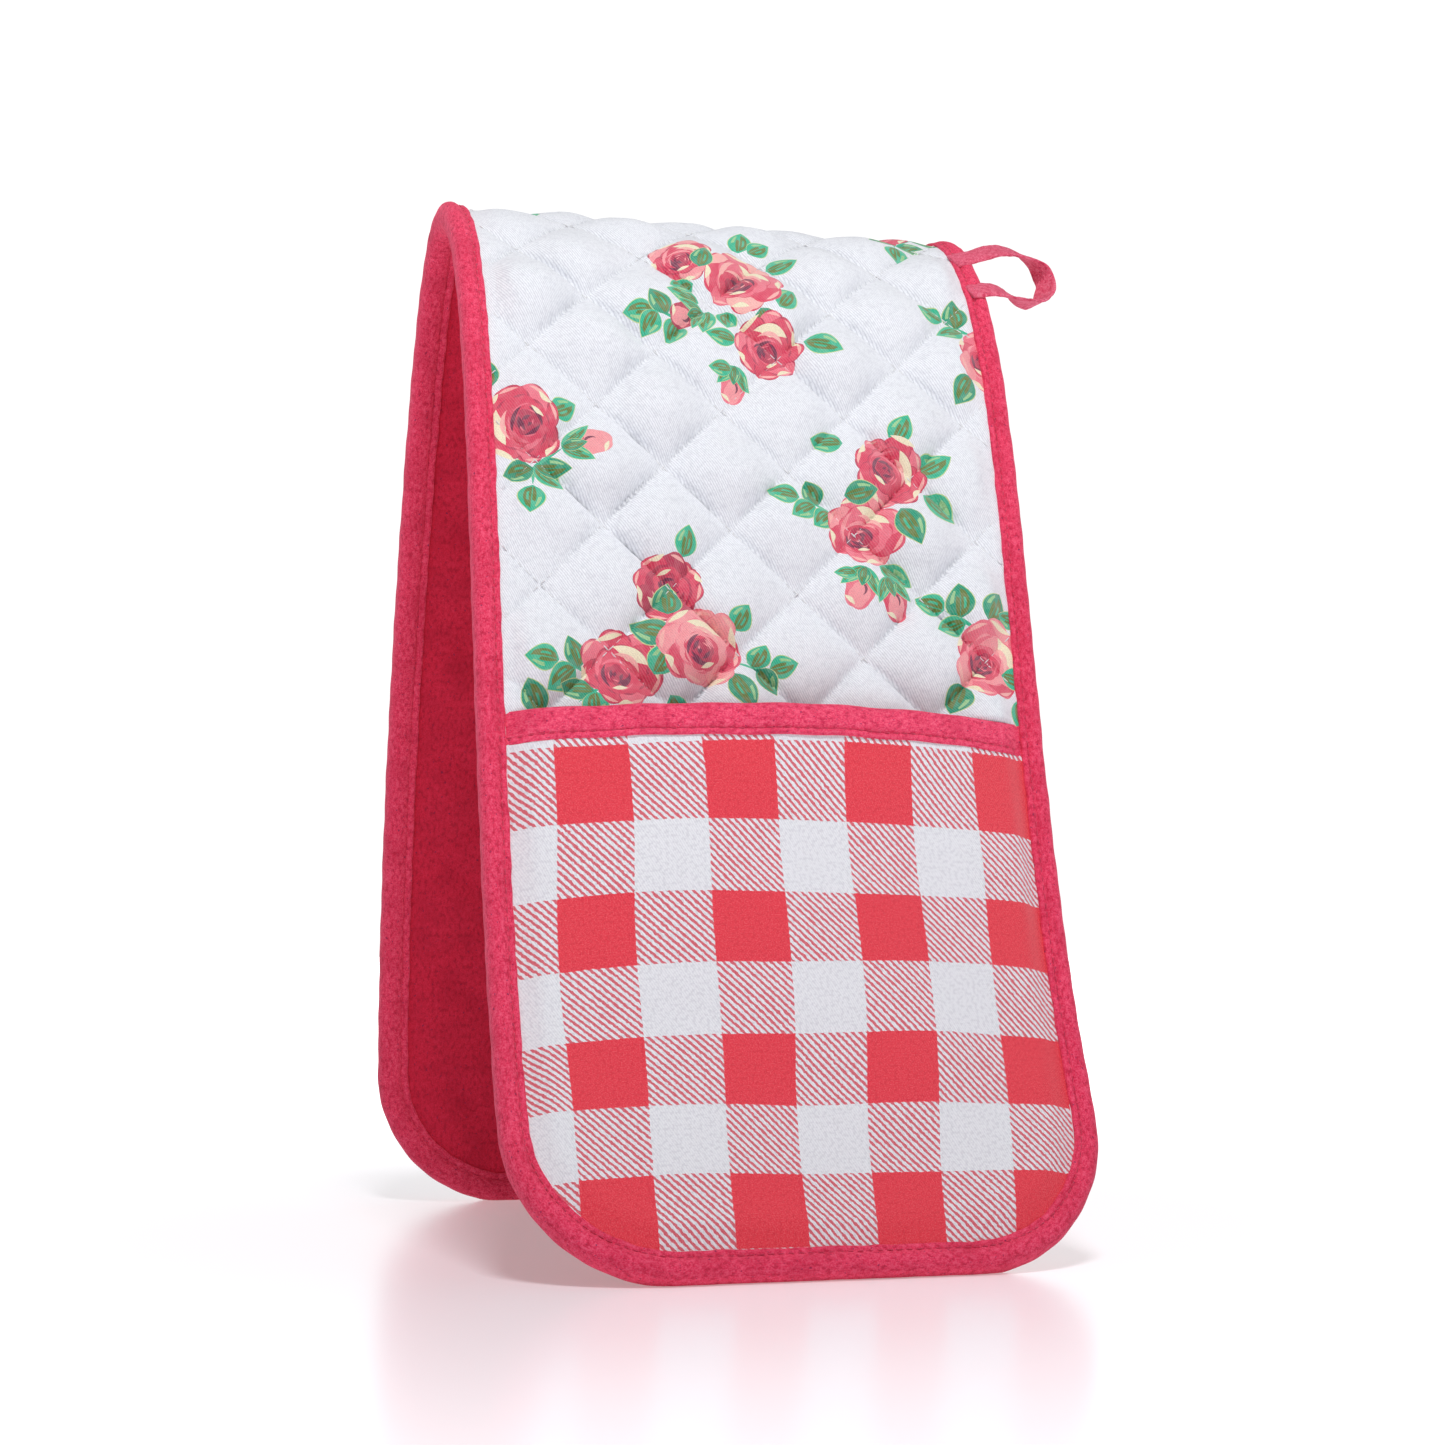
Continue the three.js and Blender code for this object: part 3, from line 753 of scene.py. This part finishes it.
def flat_cloth(cell, inset, shapes):
    """Triangles of the flat cloth, with each shape's outline in them.

    Returns the points, the triangles and the number of the shape on top of each, or -1."""
    grid = lattice(cell)
    keep = edge_distance(grid[:, 0], grid[:, 1]) > inset + 0.3 * cell
    points = [grid[keep]]
    edges = []
    total = len(points[0])
    for loop in [outline(inset, 1.5)] + [shape for _, shape in shapes]:
        count = len(loop)
        edges.extend((total + k, total + (k + 1) % count) for k in range(count))
        points.append(loop)
        total += count
    for split in (FRONT_SPLIT, REAR_SPLIT):
        x = np.linspace(inset - WIDTH / 2, WIDTH / 2 - inset, int(WIDTH / cell))
        edges.extend((total + k, total + k + 1) for k in range(len(x) - 1))
        points.append(np.stack([x, np.full(len(x), split)], -1))
        total += len(x)
    found = delaunay_2d_cdt([Vector(p) for p in np.concatenate(points)], edges, [], 0, 1e-5, False)
    flat = np.array([tuple(p) for p in found[0]])
    triangles = np.array(found[2])
    middles = flat[triangles].mean(axis=1)
    within = edge_distance(middles[:, 0], middles[:, 1]) > inset - 0.01
    order = np.argsort(middles[within, 1])
    triangles, middles = triangles[within][order], middles[within][order]
    top = np.full(len(triangles), -1)
    for number, (_, loop) in enumerate(shapes):
        low, high = np.searchsorted(middles[:, 1], (loop[:, 1].min(), loop[:, 1].max()))
        near = low + np.flatnonzero(np.abs(middles[low:high, 0] - loop[:, 0].mean()) < 20)
        top[near[inside(middles[near], loop)]] = number
    return flat, triangles, top


# Each stretch of cloth: from, to, its joint's two bodies, and where the bend starts and ends
STRETCHES = {
    "front": (-1e9, FRONT_SPLIT, "front_half", "front_crown", -94.0, -22.0),
    "crown": (FRONT_SPLIT, REAR_SPLIT, "front_crown", "rear_crown", -20.0, 14.0),
    "rear": (REAR_SPLIT, 1e9, "rear_crown", "rear_half", 15.0, 94.0),
}
# The CAD's stretches that each of these stands for
STANDS_FOR = {"front": ["front"], "crown": ["front_crown", "rear_crown"], "rear": ["rear"]}


def bend_with(made, stretch):
    """Bakes a piece of the pad's transform into its mesh; its stretch's joint is looked up but not used.
    """
    _, _, first, second, start, end = STRETCHES[stretch]
    bent(0, start, 0)
    bent(0, end, 0)
    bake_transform(made)


def pad_layer(name, cell, inset, depth, look, flip, shapes=()):
    """One layer of the pad in three stretches, from the foot to the other foot."""
    flat, triangles, top = flat_cloth(cell, inset, shapes)
    middle = flat[triangles].mean(axis=1)[:, 1]
    points = bent(flat[:, 0], flat[:, 1], depth(flat[:, 0], flat[:, 1]))
    inks = np.array([INK[ink] for ink, _ in shapes] + [(1, 1, 1, 0)])
    for stretch, (low, high, *_) in STRETCHES.items():
        chosen = (middle > low) & (middle <= high)
        used, faces = np.unique(triangles[chosen], return_inverse=True)
        faces = faces.reshape(-1, 3)
        if flip:
            faces = faces[:, ::-1]
        colours = inks[top[chosen]] if shapes else None
        made = piece(f"{stretch}_pad_{name}", points[used], faces.tolist(), flat[used], look, colours)
        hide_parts(*(f"{end}_{name}" for end in STANDS_FOR[stretch]))
        bend_with(made, stretch)


def middle_depth(x, s):
    return (outer_depth(x, s) + inner_depth(x, s)) / 2


def build_pad():
    pad_layer("cover", CELL, 4.0, outer_depth, PRINTED, False, printed_shapes())
    pad_layer("wadding", CELL * 4, 5.0, middle_depth, WADDING, False)
    pad_layer("lining", CELL * 2, 4.0, inner_depth, LINING, True)


# ---- stitches


# The length and thickness of a stitch
QUILT_STITCH = (2.6 * MM, 0.40 * MM)
EDGE_STITCH = (2.5 * MM, 0.36 * MM)
MOUTH_STITCH = (2.2 * MM, 0.42 * MM)
STITCH_RINGS = 6
STITCH_SIDES = 6


def stitches(name, centres, directions, ups, size, cloth, look):
    """Short bowed lengths of thread whose ends dip into the cloth."""
    length, thickness = size
    rings, sides = STITCH_RINGS, STITCH_SIDES
    share = np.linspace(-1, 1, rings)
    lift = 1 - np.abs(share) ** 3 * 1.9
    fat = np.sqrt(np.clip(1.08 - share**2, 0.02, 1))
    turn = np.linspace(0, 2 * math.pi, sides, endpoint=False)
    across = np.cross(directions, ups)
    points = np.zeros((len(centres), rings, sides, 3))
    for i in range(rings):
        middle = centres + directions * (share[i] * length / 2) + ups * (lift[i] * thickness * 0.85)
        for j in range(sides):
            off = across * math.cos(turn[j]) + ups * math.sin(turn[j])
            points[:, i, j] = middle + off * (fat[i] * thickness / 2)
    one = grid_faces(rings, sides, wrap=True)
    ends = [list(range(sides))[::-1], list(range((rings - 1) * sides, rings * sides))]
    faces = []
    for k in range(len(centres)):
        start = k * rings * sides
        faces.extend([[v + start for v in face] for face in one + ends])
    spread = np.repeat(np.asarray(cloth), rings * sides, axis=0)
    spread = spread + np.tile(np.repeat(share * length / 2 / MM, sides), len(centres))[:, None]
    return piece(name, points, faces, spread, look)


def seam(name, here, outside, cloth, size):
    """Crimson stitches in a row through the points here; outside is above each of them."""
    return stitches(
        name, here, unit(np.gradient(here, axis=0)), unit(outside - here), size, cloth, CRIMSON_THREAD
    )


def normals_of(x, s, depth, side=0.2):
    """The outward normal of a face of the pad, from its own depth function."""
    here = bent(x, s, depth(x, s))
    over = bent(x + side, s, depth(x + side, s)) - here
    up = bent(x, s + side, depth(x, s + side)) - here
    return unit(np.cross(over, up))


def quilting_threads():
    """The white thread along the quilting seams, where the cover shows."""
    runs = []
    reach = 640  # past both feet
    for sign, start in ((1, QUILT_U), (-1, QUILT_V)):
        for k in range(-24, 25):
            along = np.arange(-reach, reach, QUILT_PITCH) + QUILT_PITCH / 2
            x = (start + k * QUILT) / 2 + along / 2**0.5
            s = sign * (x - (start + k * QUILT))
            runs.append(np.stack([x, s, np.full(len(x), 1.0 * sign)], -1))
    runs = np.concatenate(runs)
    x, s, sign = runs.T
    shown = (edge_distance(x, s) > LIP + 0.9) & (s > -FRONT.mouth - 6) & (s < REAR.mouth + 6)
    x, s, sign = x[shown], s[shown], sign[shown]
    step = 0.4
    here = bent(x, s, outer_depth(x, s))
    ahead = bent(x + step, s + sign * step, outer_depth(x + step, s + sign * step))
    behind = bent(x - step, s - sign * step, outer_depth(x - step, s - sign * step))
    directions = unit(ahead - behind)
    ups = normals_of(x, s, outer_depth)
    for stretch, (low, high, *_) in STRETCHES.items():
        on = (s > low) & (s <= high)
        name = f"{stretch}_quilting"
        cloth = np.stack([x[on], s[on]], -1)
        made = stitches(name, here[on], directions[on], ups[on], QUILT_STITCH, cloth, WHITE_THREAD)
        bend_with(made, stretch)


# ---- the edge binding

# The binding's section: distance in from the pad's edge, and depth.
BINDING_SECTION = (
    (8.05, 1.35), (8.1, 0.75), (7.75, 0.25), (6.95, 0.05), (6.4, 0.15), (6.05, 0.5), (5.7, 0.1),
    (4.9, -0.45), (3.6, -0.8), (2.1, -0.55), (0.95, 0.45), (0.2, 2.0), (0.0, 4.2), (0.25, 6.4),
    (1.1, 8.0), (2.6, 8.95), (4.6, 9.2), (6.2, 9.0), (7.3, 8.45), (7.65, 7.95), (8.0, 8.4),
    (9.0, 8.6), (9.9, 8.45), (10.15, 7.9), (9.9, 7.2),
)
GROOVE_IN = 6.05
GROOVE_DEPTH = 0.42
FLOOR_GAP = 0.2 * MM


def edge_route(half, start, step=1.3):
    """Along the pad's edge from one side, round the foot, to the other side.

    Rows of x, distance from the ridge, and the way in from the edge."""
    straight = half.length - CORNER
    down = np.linspace(start, straight, int((straight - start) / step))[:-1]
    one = np.ones(len(down))
    side = np.stack([WIDTH / 2 * one, down, -one, 0 * one], -1)
    angle = np.linspace(0, math.pi / 2, int(CORNER * math.pi / 2 / step))[:-1]
    c, d = np.cos(angle), np.sin(angle)
    corner = np.stack([WIDTH / 2 - CORNER + CORNER * c, straight + CORNER * d, -c, -d], -1)
    x = np.linspace(WIDTH / 2 - CORNER, 0, int((WIDTH / 2 - CORNER) / step))
    foot = np.stack([x, np.full(len(x), half.length), 0 * x, -np.ones(len(x))], -1)
    right = np.concatenate([side, corner, foot])
    left = right[:-1][::-1] * [-1, 1, -1, 1]
    return np.concatenate([right, left])


def crown_route(side, start, end, step=1.3):
    s = np.linspace(start, end, int((end - start) / step))
    one = np.ones(len(s))
    return np.stack([side * WIDTH / 2 * one, s, -side * one, 0 * one], -1)


def binding_points(route, side, section, seed):
    """The binding's surface along a route, puckered along its stitched groove."""
    gone = distance_along(route[:, :2])[:, None]
    inward = section[None, :, 0]
    depth = section[None, :, 1]
    near = np.exp(-(((inward - GROOVE_IN) / 2.6) ** 2)) * (depth < 4)
    near = near + 0.8 * np.exp(-(((inward - 7.6) / 2.4) ** 2)) * (depth > 4)
    slanted = gone + 0.7 * inward
    pucker = ripple(slanted, (3.1, 4.3, 5.9, 8.3), seed) * near
    swell = ripple(gone, (23, 37, 61), seed + 1)
    face = np.where(depth < 4.2, -1.0, 1.0)
    tight = 0.7 + 0.3 * ripple(gone, (19, 47), seed + 2)
    moved = depth + face * (0.09 * pucker * tight + 0.12 * swell * (inward < 7))
    lip = 0.10 * ripple(gone, (7.7, 16, 41), seed + 3) * (inward > 5)
    inward = inward + lip + 0.10 * ripple(gone, (11, 29), seed + 4)
    x = route[:, None, 0] + inward * route[:, None, 2]
    s = side * (route[:, None, 1] + inward * route[:, None, 3])
    cloth = np.stack([distance_along(section)[None, :] + 0 * x, gone + 0 * x], -1)
    points = bent(x, s, moved)
    points[..., 2] = np.maximum(points[..., 2], FLOOR_GAP)  # the feet lie flat on the floor
    return points, cloth


def binding(name, route, side, nodes, stretch, flip, seed):
    section = curve_through(BINDING_SECTION, 58)
    points, cloth = binding_points(route, side, section, seed)
    rows, columns = points.shape[:2]
    made = piece(name, points, grid_faces(rows, columns, flip=flip), cloth, TAPE)
    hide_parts(*nodes)
    bend_with(made, stretch)
    # The stitches in the groove
    gone = distance_along(route[:, :2])
    at = np.arange(1.5, gone[-1] - 1, SEAM_PITCH)
    places = np.stack([np.interp(at, gone, route[:, k]) for k in range(4)], -1)
    x = places[:, 0] + GROOVE_IN * places[:, 2]
    s = side * (places[:, 1] + GROOVE_IN * places[:, 3])
    outside = bent(x, s, GROOVE_DEPTH - 1)
    here = bent(x, s, GROOVE_DEPTH)
    bend_with(seam(name + "_stitches", here, outside, np.stack([x, s], -1), EDGE_STITCH), stretch)


def build_bindings():
    for half, split, flip, seed in ((FRONT, -FRONT_SPLIT, True, 21), (REAR, REAR_SPLIT, False, 31)):
        nodes = [f"{half.name}_binding_{part}" for part in ("left", "right", "foot")]
        route = edge_route(half, split)
        binding(f"{half.name}_edge_binding", route, half.side, nodes, half.name, flip, seed)
    for hand, side in (("left", -1), ("right", 1)):
        nodes = [f"{end}_crown_binding_{hand}" for end in ("front", "rear")]
        route = crown_route(side, FRONT_SPLIT, REAR_SPLIT)
        binding(f"crown_edge_binding_{hand}", route, 1, nodes, "crown", side > 0, 40 + side)


# ---- the pockets


def pocket_bow(half, x, along):
    """How far the pocket stands off the pad there, as a share of its bow."""
    across = np.clip(1 - (x / (WIDTH / 2 - POCKET_INSET)) ** 2, 0, 1)
    from_foot = (half.length - POCKET_INSET - along) / (POCKET_DEPTH - POCKET_INSET)
    return across * np.sin(math.pi / 2 * np.clip(from_foot, 0, 1))


def pocket_depth(half, x, along, level):
    """Depth of a level in the pocket's thickness, squeezed thin at the binding."""
    full = pocket_bow(half, x, along)
    s = half.side * along
    inside_lip = edge_distance(x, s) - LIP
    rise = smooth(-0.6, 8, inside_lip)
    squeeze = (0.30 + 0.70 * np.sqrt(full)) * rise
    buckle = rise * (0.55 * wrinkle(x, s, 58, 17) + 0.22 * wrinkle(x, s, 24, 18))
    return 1.35 - POCKET_BOW * full - level * squeeze - buckle * smooth(0, 2, level)


def open_with(made, half):
    """Bakes a pocket piece's transform into its mesh; its hinge is worked out but not used."""
    hinge = bent(0, half.side * (half.length - POCKET_INSET), 0)
    bent(0, half.side * half.mouth, 0)
    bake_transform(made)


def pocket_sheet(half, name, level, inset, top, look, node, flip):
    across = np.linspace(-1, 1, 121)
    along = np.linspace(half.mouth + top, half.length - inset, 130)
    into = np.clip(along - (half.length - CORNER), 0, None)
    wide = WIDTH / 2 - CORNER + np.sqrt(np.maximum((CORNER - inset) ** 2 - into**2, 0))
    x = across[None, :] * wide[:, None]
    along = along[:, None] + 0 * x
    # Under the mouth binding the sheet lies a little deeper than the tape
    under_tape = 0.3 * (1 - smooth(8, 10, along - half.mouth))
    points = bent(x, half.side * along, pocket_depth(half, x, along, level) + under_tape)
    # The printed rows are taller near the mouth and the columns narrower near the foot
    from_foot = half.length - along - CHECK_ROW + 0.7 * wrinkle(x, along, 80, 26)
    from_foot = from_foot - ROWS_GROW * np.maximum(from_foot - ROWS_EVEN, 0) ** 2
    narrowed = COLUMNS_NARROW * (1 - smooth(0, 70, from_foot)) * (x + 60)
    warp_x = x + narrowed - CHECK_COLUMN + 0.9 * wrinkle(x, along, 70, 25)
    cloth = np.stack([warp_x, from_foot], -1)
    made = piece(f"{half.name}_pocket_sewn_{name}", points, grid_faces(*x.shape, flip=flip), cloth, look)
    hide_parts(node)
    open_with(made, half)


# The mouth binding's section: distance down from the mouth, and level.
MOUTH_SECTION = (
    (9.75, 4.9), (9.95, 5.6), (9.5, 6.05), (8.7, 6.15), (8.15, 5.95), (7.85, 5.35), (7.5, 6.0),
    (6.4, 6.45), (4.4, 6.65), (2.2, 6.45), (0.6, 5.8), (-0.25, 4.4), (-0.4, 3.0), (-0.15, 1.6),
    (0.7, 0.5), (2.6, 0.05), (6.0, 0.0), (9.0, 0.1), (9.7, 0.6),
)
MOUTH_GROOVE = 7.85


def mouth_binding(half, flip):
    section = curve_through(MOUTH_SECTION, 46)
    x = np.linspace(-WIDTH / 2 + 6.6, WIDTH / 2 - 6.6, 150)[:, None]
    down = section[None, :, 0]
    level = section[None, :, 1]
    near = np.exp(-(((down - MOUTH_GROOVE) / 2.4) ** 2)) * (level > 3)
    level = level + 0.16 * ripple(x + 0.5 * down, (3.3, 4.7, 6.9), 51) * near
    level = level + 0.12 * ripple(x, (31, 53), 52) * (level > 3)
    along = half.mouth + down + 0.25 * ripple(x, (21, 47, 83), 53)
    points = bent(x, half.side * along, pocket_depth(half, x, along, level))
    cloth = np.stack([distance_along(section)[None, :] + 0 * x, x + 0 * down], -1)
    faces = grid_faces(*cloth.shape[:2], flip=flip)
    made = piece(f"{half.name}_pocket_mouth_tape", points, faces, cloth, LIT_MOUTH_TAPE)
    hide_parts(f"{half.name}_pocket_mouth_binding")
    open_with(made, half)
    # The stitches above its lower edge
    at = np.arange(-WIDTH / 2 + 9, WIDTH / 2 - 9, SEAM_PITCH)
    along = half.mouth + MOUTH_GROOVE + 0.25 * ripple(at, (21, 47, 83), 53)
    here = bent(at, half.side * along, pocket_depth(half, at, along, 5.5))
    outside = bent(at, half.side * along, pocket_depth(half, at, along, 6.5))
    name = f"{half.name}_pocket_mouth_stitches"
    sewn = seam(name, here, outside, np.stack([at, along], -1), MOUTH_STITCH)
    open_with(sewn, half)


def build_pockets():
    for half, flip in ((FRONT, False), (REAR, True)):
        node = f"{half.name}_pocket"
        pocket_sheet(half, "face", 5.2, 6.4, 1.0, CHECKED, node + "_face", not flip)
        pocket_sheet(half, "wadding", 3.2, 8.6, 2.0, WADDING, node + "_wadding", not flip)
        pocket_sheet(half, "lining", 0.6, 6.6, 1.0, LINING, node + "_lining", flip)
        mouth_binding(half, flip)


# ---- the hanging loop

LOOP_X = WIDTH / 2 + 0.3
LOOP_DEPTH = -1.1
LOOP_UPPER_S = -30.0
LOOP_LOWER_S = -48.0
LOOP_WIDTH = 8.0
LOOP_THICKNESS = 1.5
LOOP_LENGTH = 90.0
LOOP_SIDES = 28
# Along the tape: the share of the way from the upper root to the lower one, then how far out,
# back and up from there.
LOOP_ROUTE = (
    (0.0, -8.2, 0.0, -2.0), (0.0, -4.0, 0.0, -0.5), (0.0, 0.0, 0.2, 0.7), (0.04, 4.0, 1.2, 2.6),
    (0.10, 9.0, 3.0, 4.8), (0.15, 15.0, 5.0, 5.8), (0.25, 20.5, 6.5, 5.2), (0.38, 24.8, 7.5, 3.2),
    (0.50, 26.6, 7.5, 0.0), (0.62, 25.0, 7.0, -3.2), (0.76, 20.5, 5.5, -4.8),
    (0.90, 14.0, 3.0, -3.6), (1.0, 8.0, 1.2, -1.6), (1.0, 4.0, 0.5, -0.5), (1.0, 0.0, 0.0, 0.0),
    (1.0, -4.0, 0.0, -0.4), (1.0, -7.0, 0.0, -1.4),
)
# How the tape's width lies: the share along the tape, then the direction across it.
LOOP_TURNS = (
    (0.0, (0.0, 0.72, 0.69)), (0.12, (0.0, 0.72, 0.69)), (0.30, (-0.25, 0.80, 0.54)),
    (0.50, (-0.66, 0.75, 0.05)), (0.68, (-0.30, 0.93, -0.22)), (0.88, (0.0, 0.72, 0.69)),
    (1.0, (0.0, 0.72, 0.69)),
)


def build_loop():
    upper = bent(LOOP_X, LOOP_UPPER_S, LOOP_DEPTH)
    lower = bent(LOOP_X, LOOP_LOWER_S, LOOP_DEPTH)
    route = [
        upper + (lower - upper) * way + np.array([out, back, up]) * MM
        for way, out, back, up in LOOP_ROUTE
    ]
    middle = curve_through(route, 150)
    lead = unit(np.gradient(middle, axis=0))
    share = np.linspace(0, 1, len(middle))
    keys = [key for key, _ in LOOP_TURNS]
    turns = np.array([turn for _, turn in LOOP_TURNS])
    wide = np.stack([np.interp(share, keys, turns[:, k]) for k in range(3)], -1)
    wide -= lead * (wide * lead).sum(-1, keepdims=True)
    for _ in range(12):
        wide[1:-1] = (wide[:-2] + 2 * wide[1:-1] + wide[2:]) / 4
    wide = unit(wide)
    thick = np.cross(lead, wide)
    # A folded tape: rounded edges, and a hollow along its middle
    turn = np.linspace(0, 2 * math.pi, LOOP_SIDES, endpoint=False)
    across = np.sign(np.cos(turn)) * np.abs(np.cos(turn)) ** 0.7 * LOOP_WIDTH / 2
    off = np.sign(np.sin(turn)) * np.abs(np.sin(turn)) ** 0.6 * LOOP_THICKNESS / 2
    off = off * (0.8 + 0.2 * np.abs(across) / (LOOP_WIDTH / 2))
    gone = share[:, None] * LOOP_LENGTH
    fat = 1 + 0.05 * ripple(gone, (9, 17), 61)
    across = across[None, :] * fat
    off = off[None, :] * (1 + 0.15 * ripple(gone + across, (3.1, 5.3, 8.0), 62))
    curl = 0.35 * (np.abs(across) / (LOOP_WIDTH / 2)) ** 2 * ripple(gone, (23, 31), 63)
    sideways = wide[:, None, :] * across[..., None]
    points = middle[:, None, :] + (sideways + thick[:, None, :] * (off + curl)[..., None]) * MM
    cloth = np.stack([across + off, gone + 0 * across], -1)
    faces = grid_faces(*cloth.shape[:2], wrap=True)
    faces.append(list(range(LOOP_SIDES))[::-1])
    last = (len(middle) - 1) * LOOP_SIDES
    faces.append([last + k for k in range(LOOP_SIDES)])
    made = piece("hanging_loop_tape", points, faces, cloth, LOOP_TAPE)
    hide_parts("hanging_loop", "loop_end_upper", "loop_end_lower")
    pivot = bent(LOOP_X - 0.6, LOOP_UPPER_S, LOOP_DEPTH)
    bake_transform(made)


# ---- light, floor and camera

CAMERA_TARGET = (0.0, -30.8, 164.4)  # from the point of the floor under the ridge
CAMERA_DISTANCE = 832.1
CAMERA_AZIMUTH = 16.15
CAMERA_PITCH = -4.79
CAMERA_LENS = 64.0
FLOOR_REACH = 12.0  # metres from the middle to an edge
# The lamps: place and size in metres, and power in watts
LAMPS = {
    "key": ((-0.18, -0.84, 1.62), 0.40, 17.5),
    "fill": ((1.1, -1.2, 0.7), 0.8, 0.8),
    "top": ((0.2, 0.5, 1.6), 0.8, 1.0),
}
LAMPS_AIM = (0, 0, 0.17)


def place_looking(name, data, place, direction):
    """Links a camera or lamp at a place, pointing in a direction."""
    made = bpy.data.objects.new(name, data)
    made.location = place
    made.rotation_euler = Vector(direction).to_track_quat("-Z", "Y").to_euler()
    bpy.context.scene.collection.objects.link(made)
    return made


def build_camera():
    target = np.array([RIDGE[0], RIDGE[1], 0.0]) + np.array(CAMERA_TARGET) * MM
    a, p = math.radians(CAMERA_AZIMUTH), math.radians(CAMERA_PITCH)
    away = np.array([-math.sin(a) * math.cos(p), -math.cos(a) * math.cos(p), math.sin(p)])
    data = bpy.data.cameras.new("camera")
    data.lens = CAMERA_LENS
    data.clip_end = 100
    place = target + away * CAMERA_DISTANCE * MM
    bpy.context.scene.camera = place_looking("camera", data, place, -away)


def build_floor():
    """A glossy pale floor, which glows more the further it is from the glove."""
    mesh = bpy.data.meshes.new("floor")
    corners = [(x * FLOOR_REACH, y * FLOOR_REACH, 0) for x, y in ((-1, -1), (1, -1), (1, 1), (-1, 1))]
    mesh.from_pydata(corners, [], [(0, 1, 2, 3)])
    floor = bpy.data.objects.new("floor", mesh)
    look = Look("floor_white", 0.24, 0.0)
    look.shader.inputs["Base Color"].default_value = (0.80, 0.775, 0.83, 1)
    look.shader.inputs["Emission Color"].default_value = (1, 1, 1, 1)
    look.shader.inputs["Specular IOR Level"].default_value = 0.4
    place = look.node("ShaderNodeNewGeometry").outputs["Position"]
    away = look.node("ShaderNodeVectorMath", operation="LENGTH")
    look.put(place, away.inputs[0])
    glow = look.between(away.outputs["Value"], 0.15, 0.8, 0.26, 0.95)
    look.put(glow, look.shader.inputs["Emission Strength"])
    mesh.materials.append(look.material)
    bpy.context.scene.collection.objects.link(floor)


def build_world():
    """Soft light on the glove, and a white backdrop for the camera and for reflections."""
    world = bpy.data.worlds.new("studio")
    world.use_nodes = True
    nodes, link = world.node_tree.nodes, world.node_tree.links.new
    soft = nodes["Background"]
    backdrop = nodes.new("ShaderNodeBackground")
    for node, colour, strength in ((soft, (0.97, 0.98, 1, 1), 0.20), (backdrop, (1, 1, 1, 1), 1.05)):
        node.inputs["Color"].default_value = colour
        node.inputs["Strength"].default_value = strength
    path = nodes.new("ShaderNodeLightPath")
    seen = nodes.new("ShaderNodeMath")
    seen.operation = "MAXIMUM"
    either = nodes.new("ShaderNodeMixShader")
    link(path.outputs["Is Camera Ray"], seen.inputs[0])
    link(path.outputs["Is Glossy Ray"], seen.inputs[1])
    link(seen.outputs[0], either.inputs[0])
    link(soft.outputs[0], either.inputs[1])
    link(backdrop.outputs[0], either.inputs[2])
    link(either.outputs[0], nodes["World Output"].inputs[0])
    bpy.context.scene.world = world


def build_lamps():
    for name, (place, size, power) in LAMPS.items():
        data = bpy.data.lights.new(name, "AREA")
        data.shape = "DISK"
        data.size = size
        data.energy = power
        place_looking(name, data, place, Vector(LAMPS_AIM) - Vector(place))


def build_stage():
    build_camera()
    build_floor()
    build_world()
    build_lamps()
    bpy.context.scene.view_settings.view_transform = "Standard"


build_stage()
build_pad()
quilting_threads()
build_bindings()
build_pockets()
build_loop()
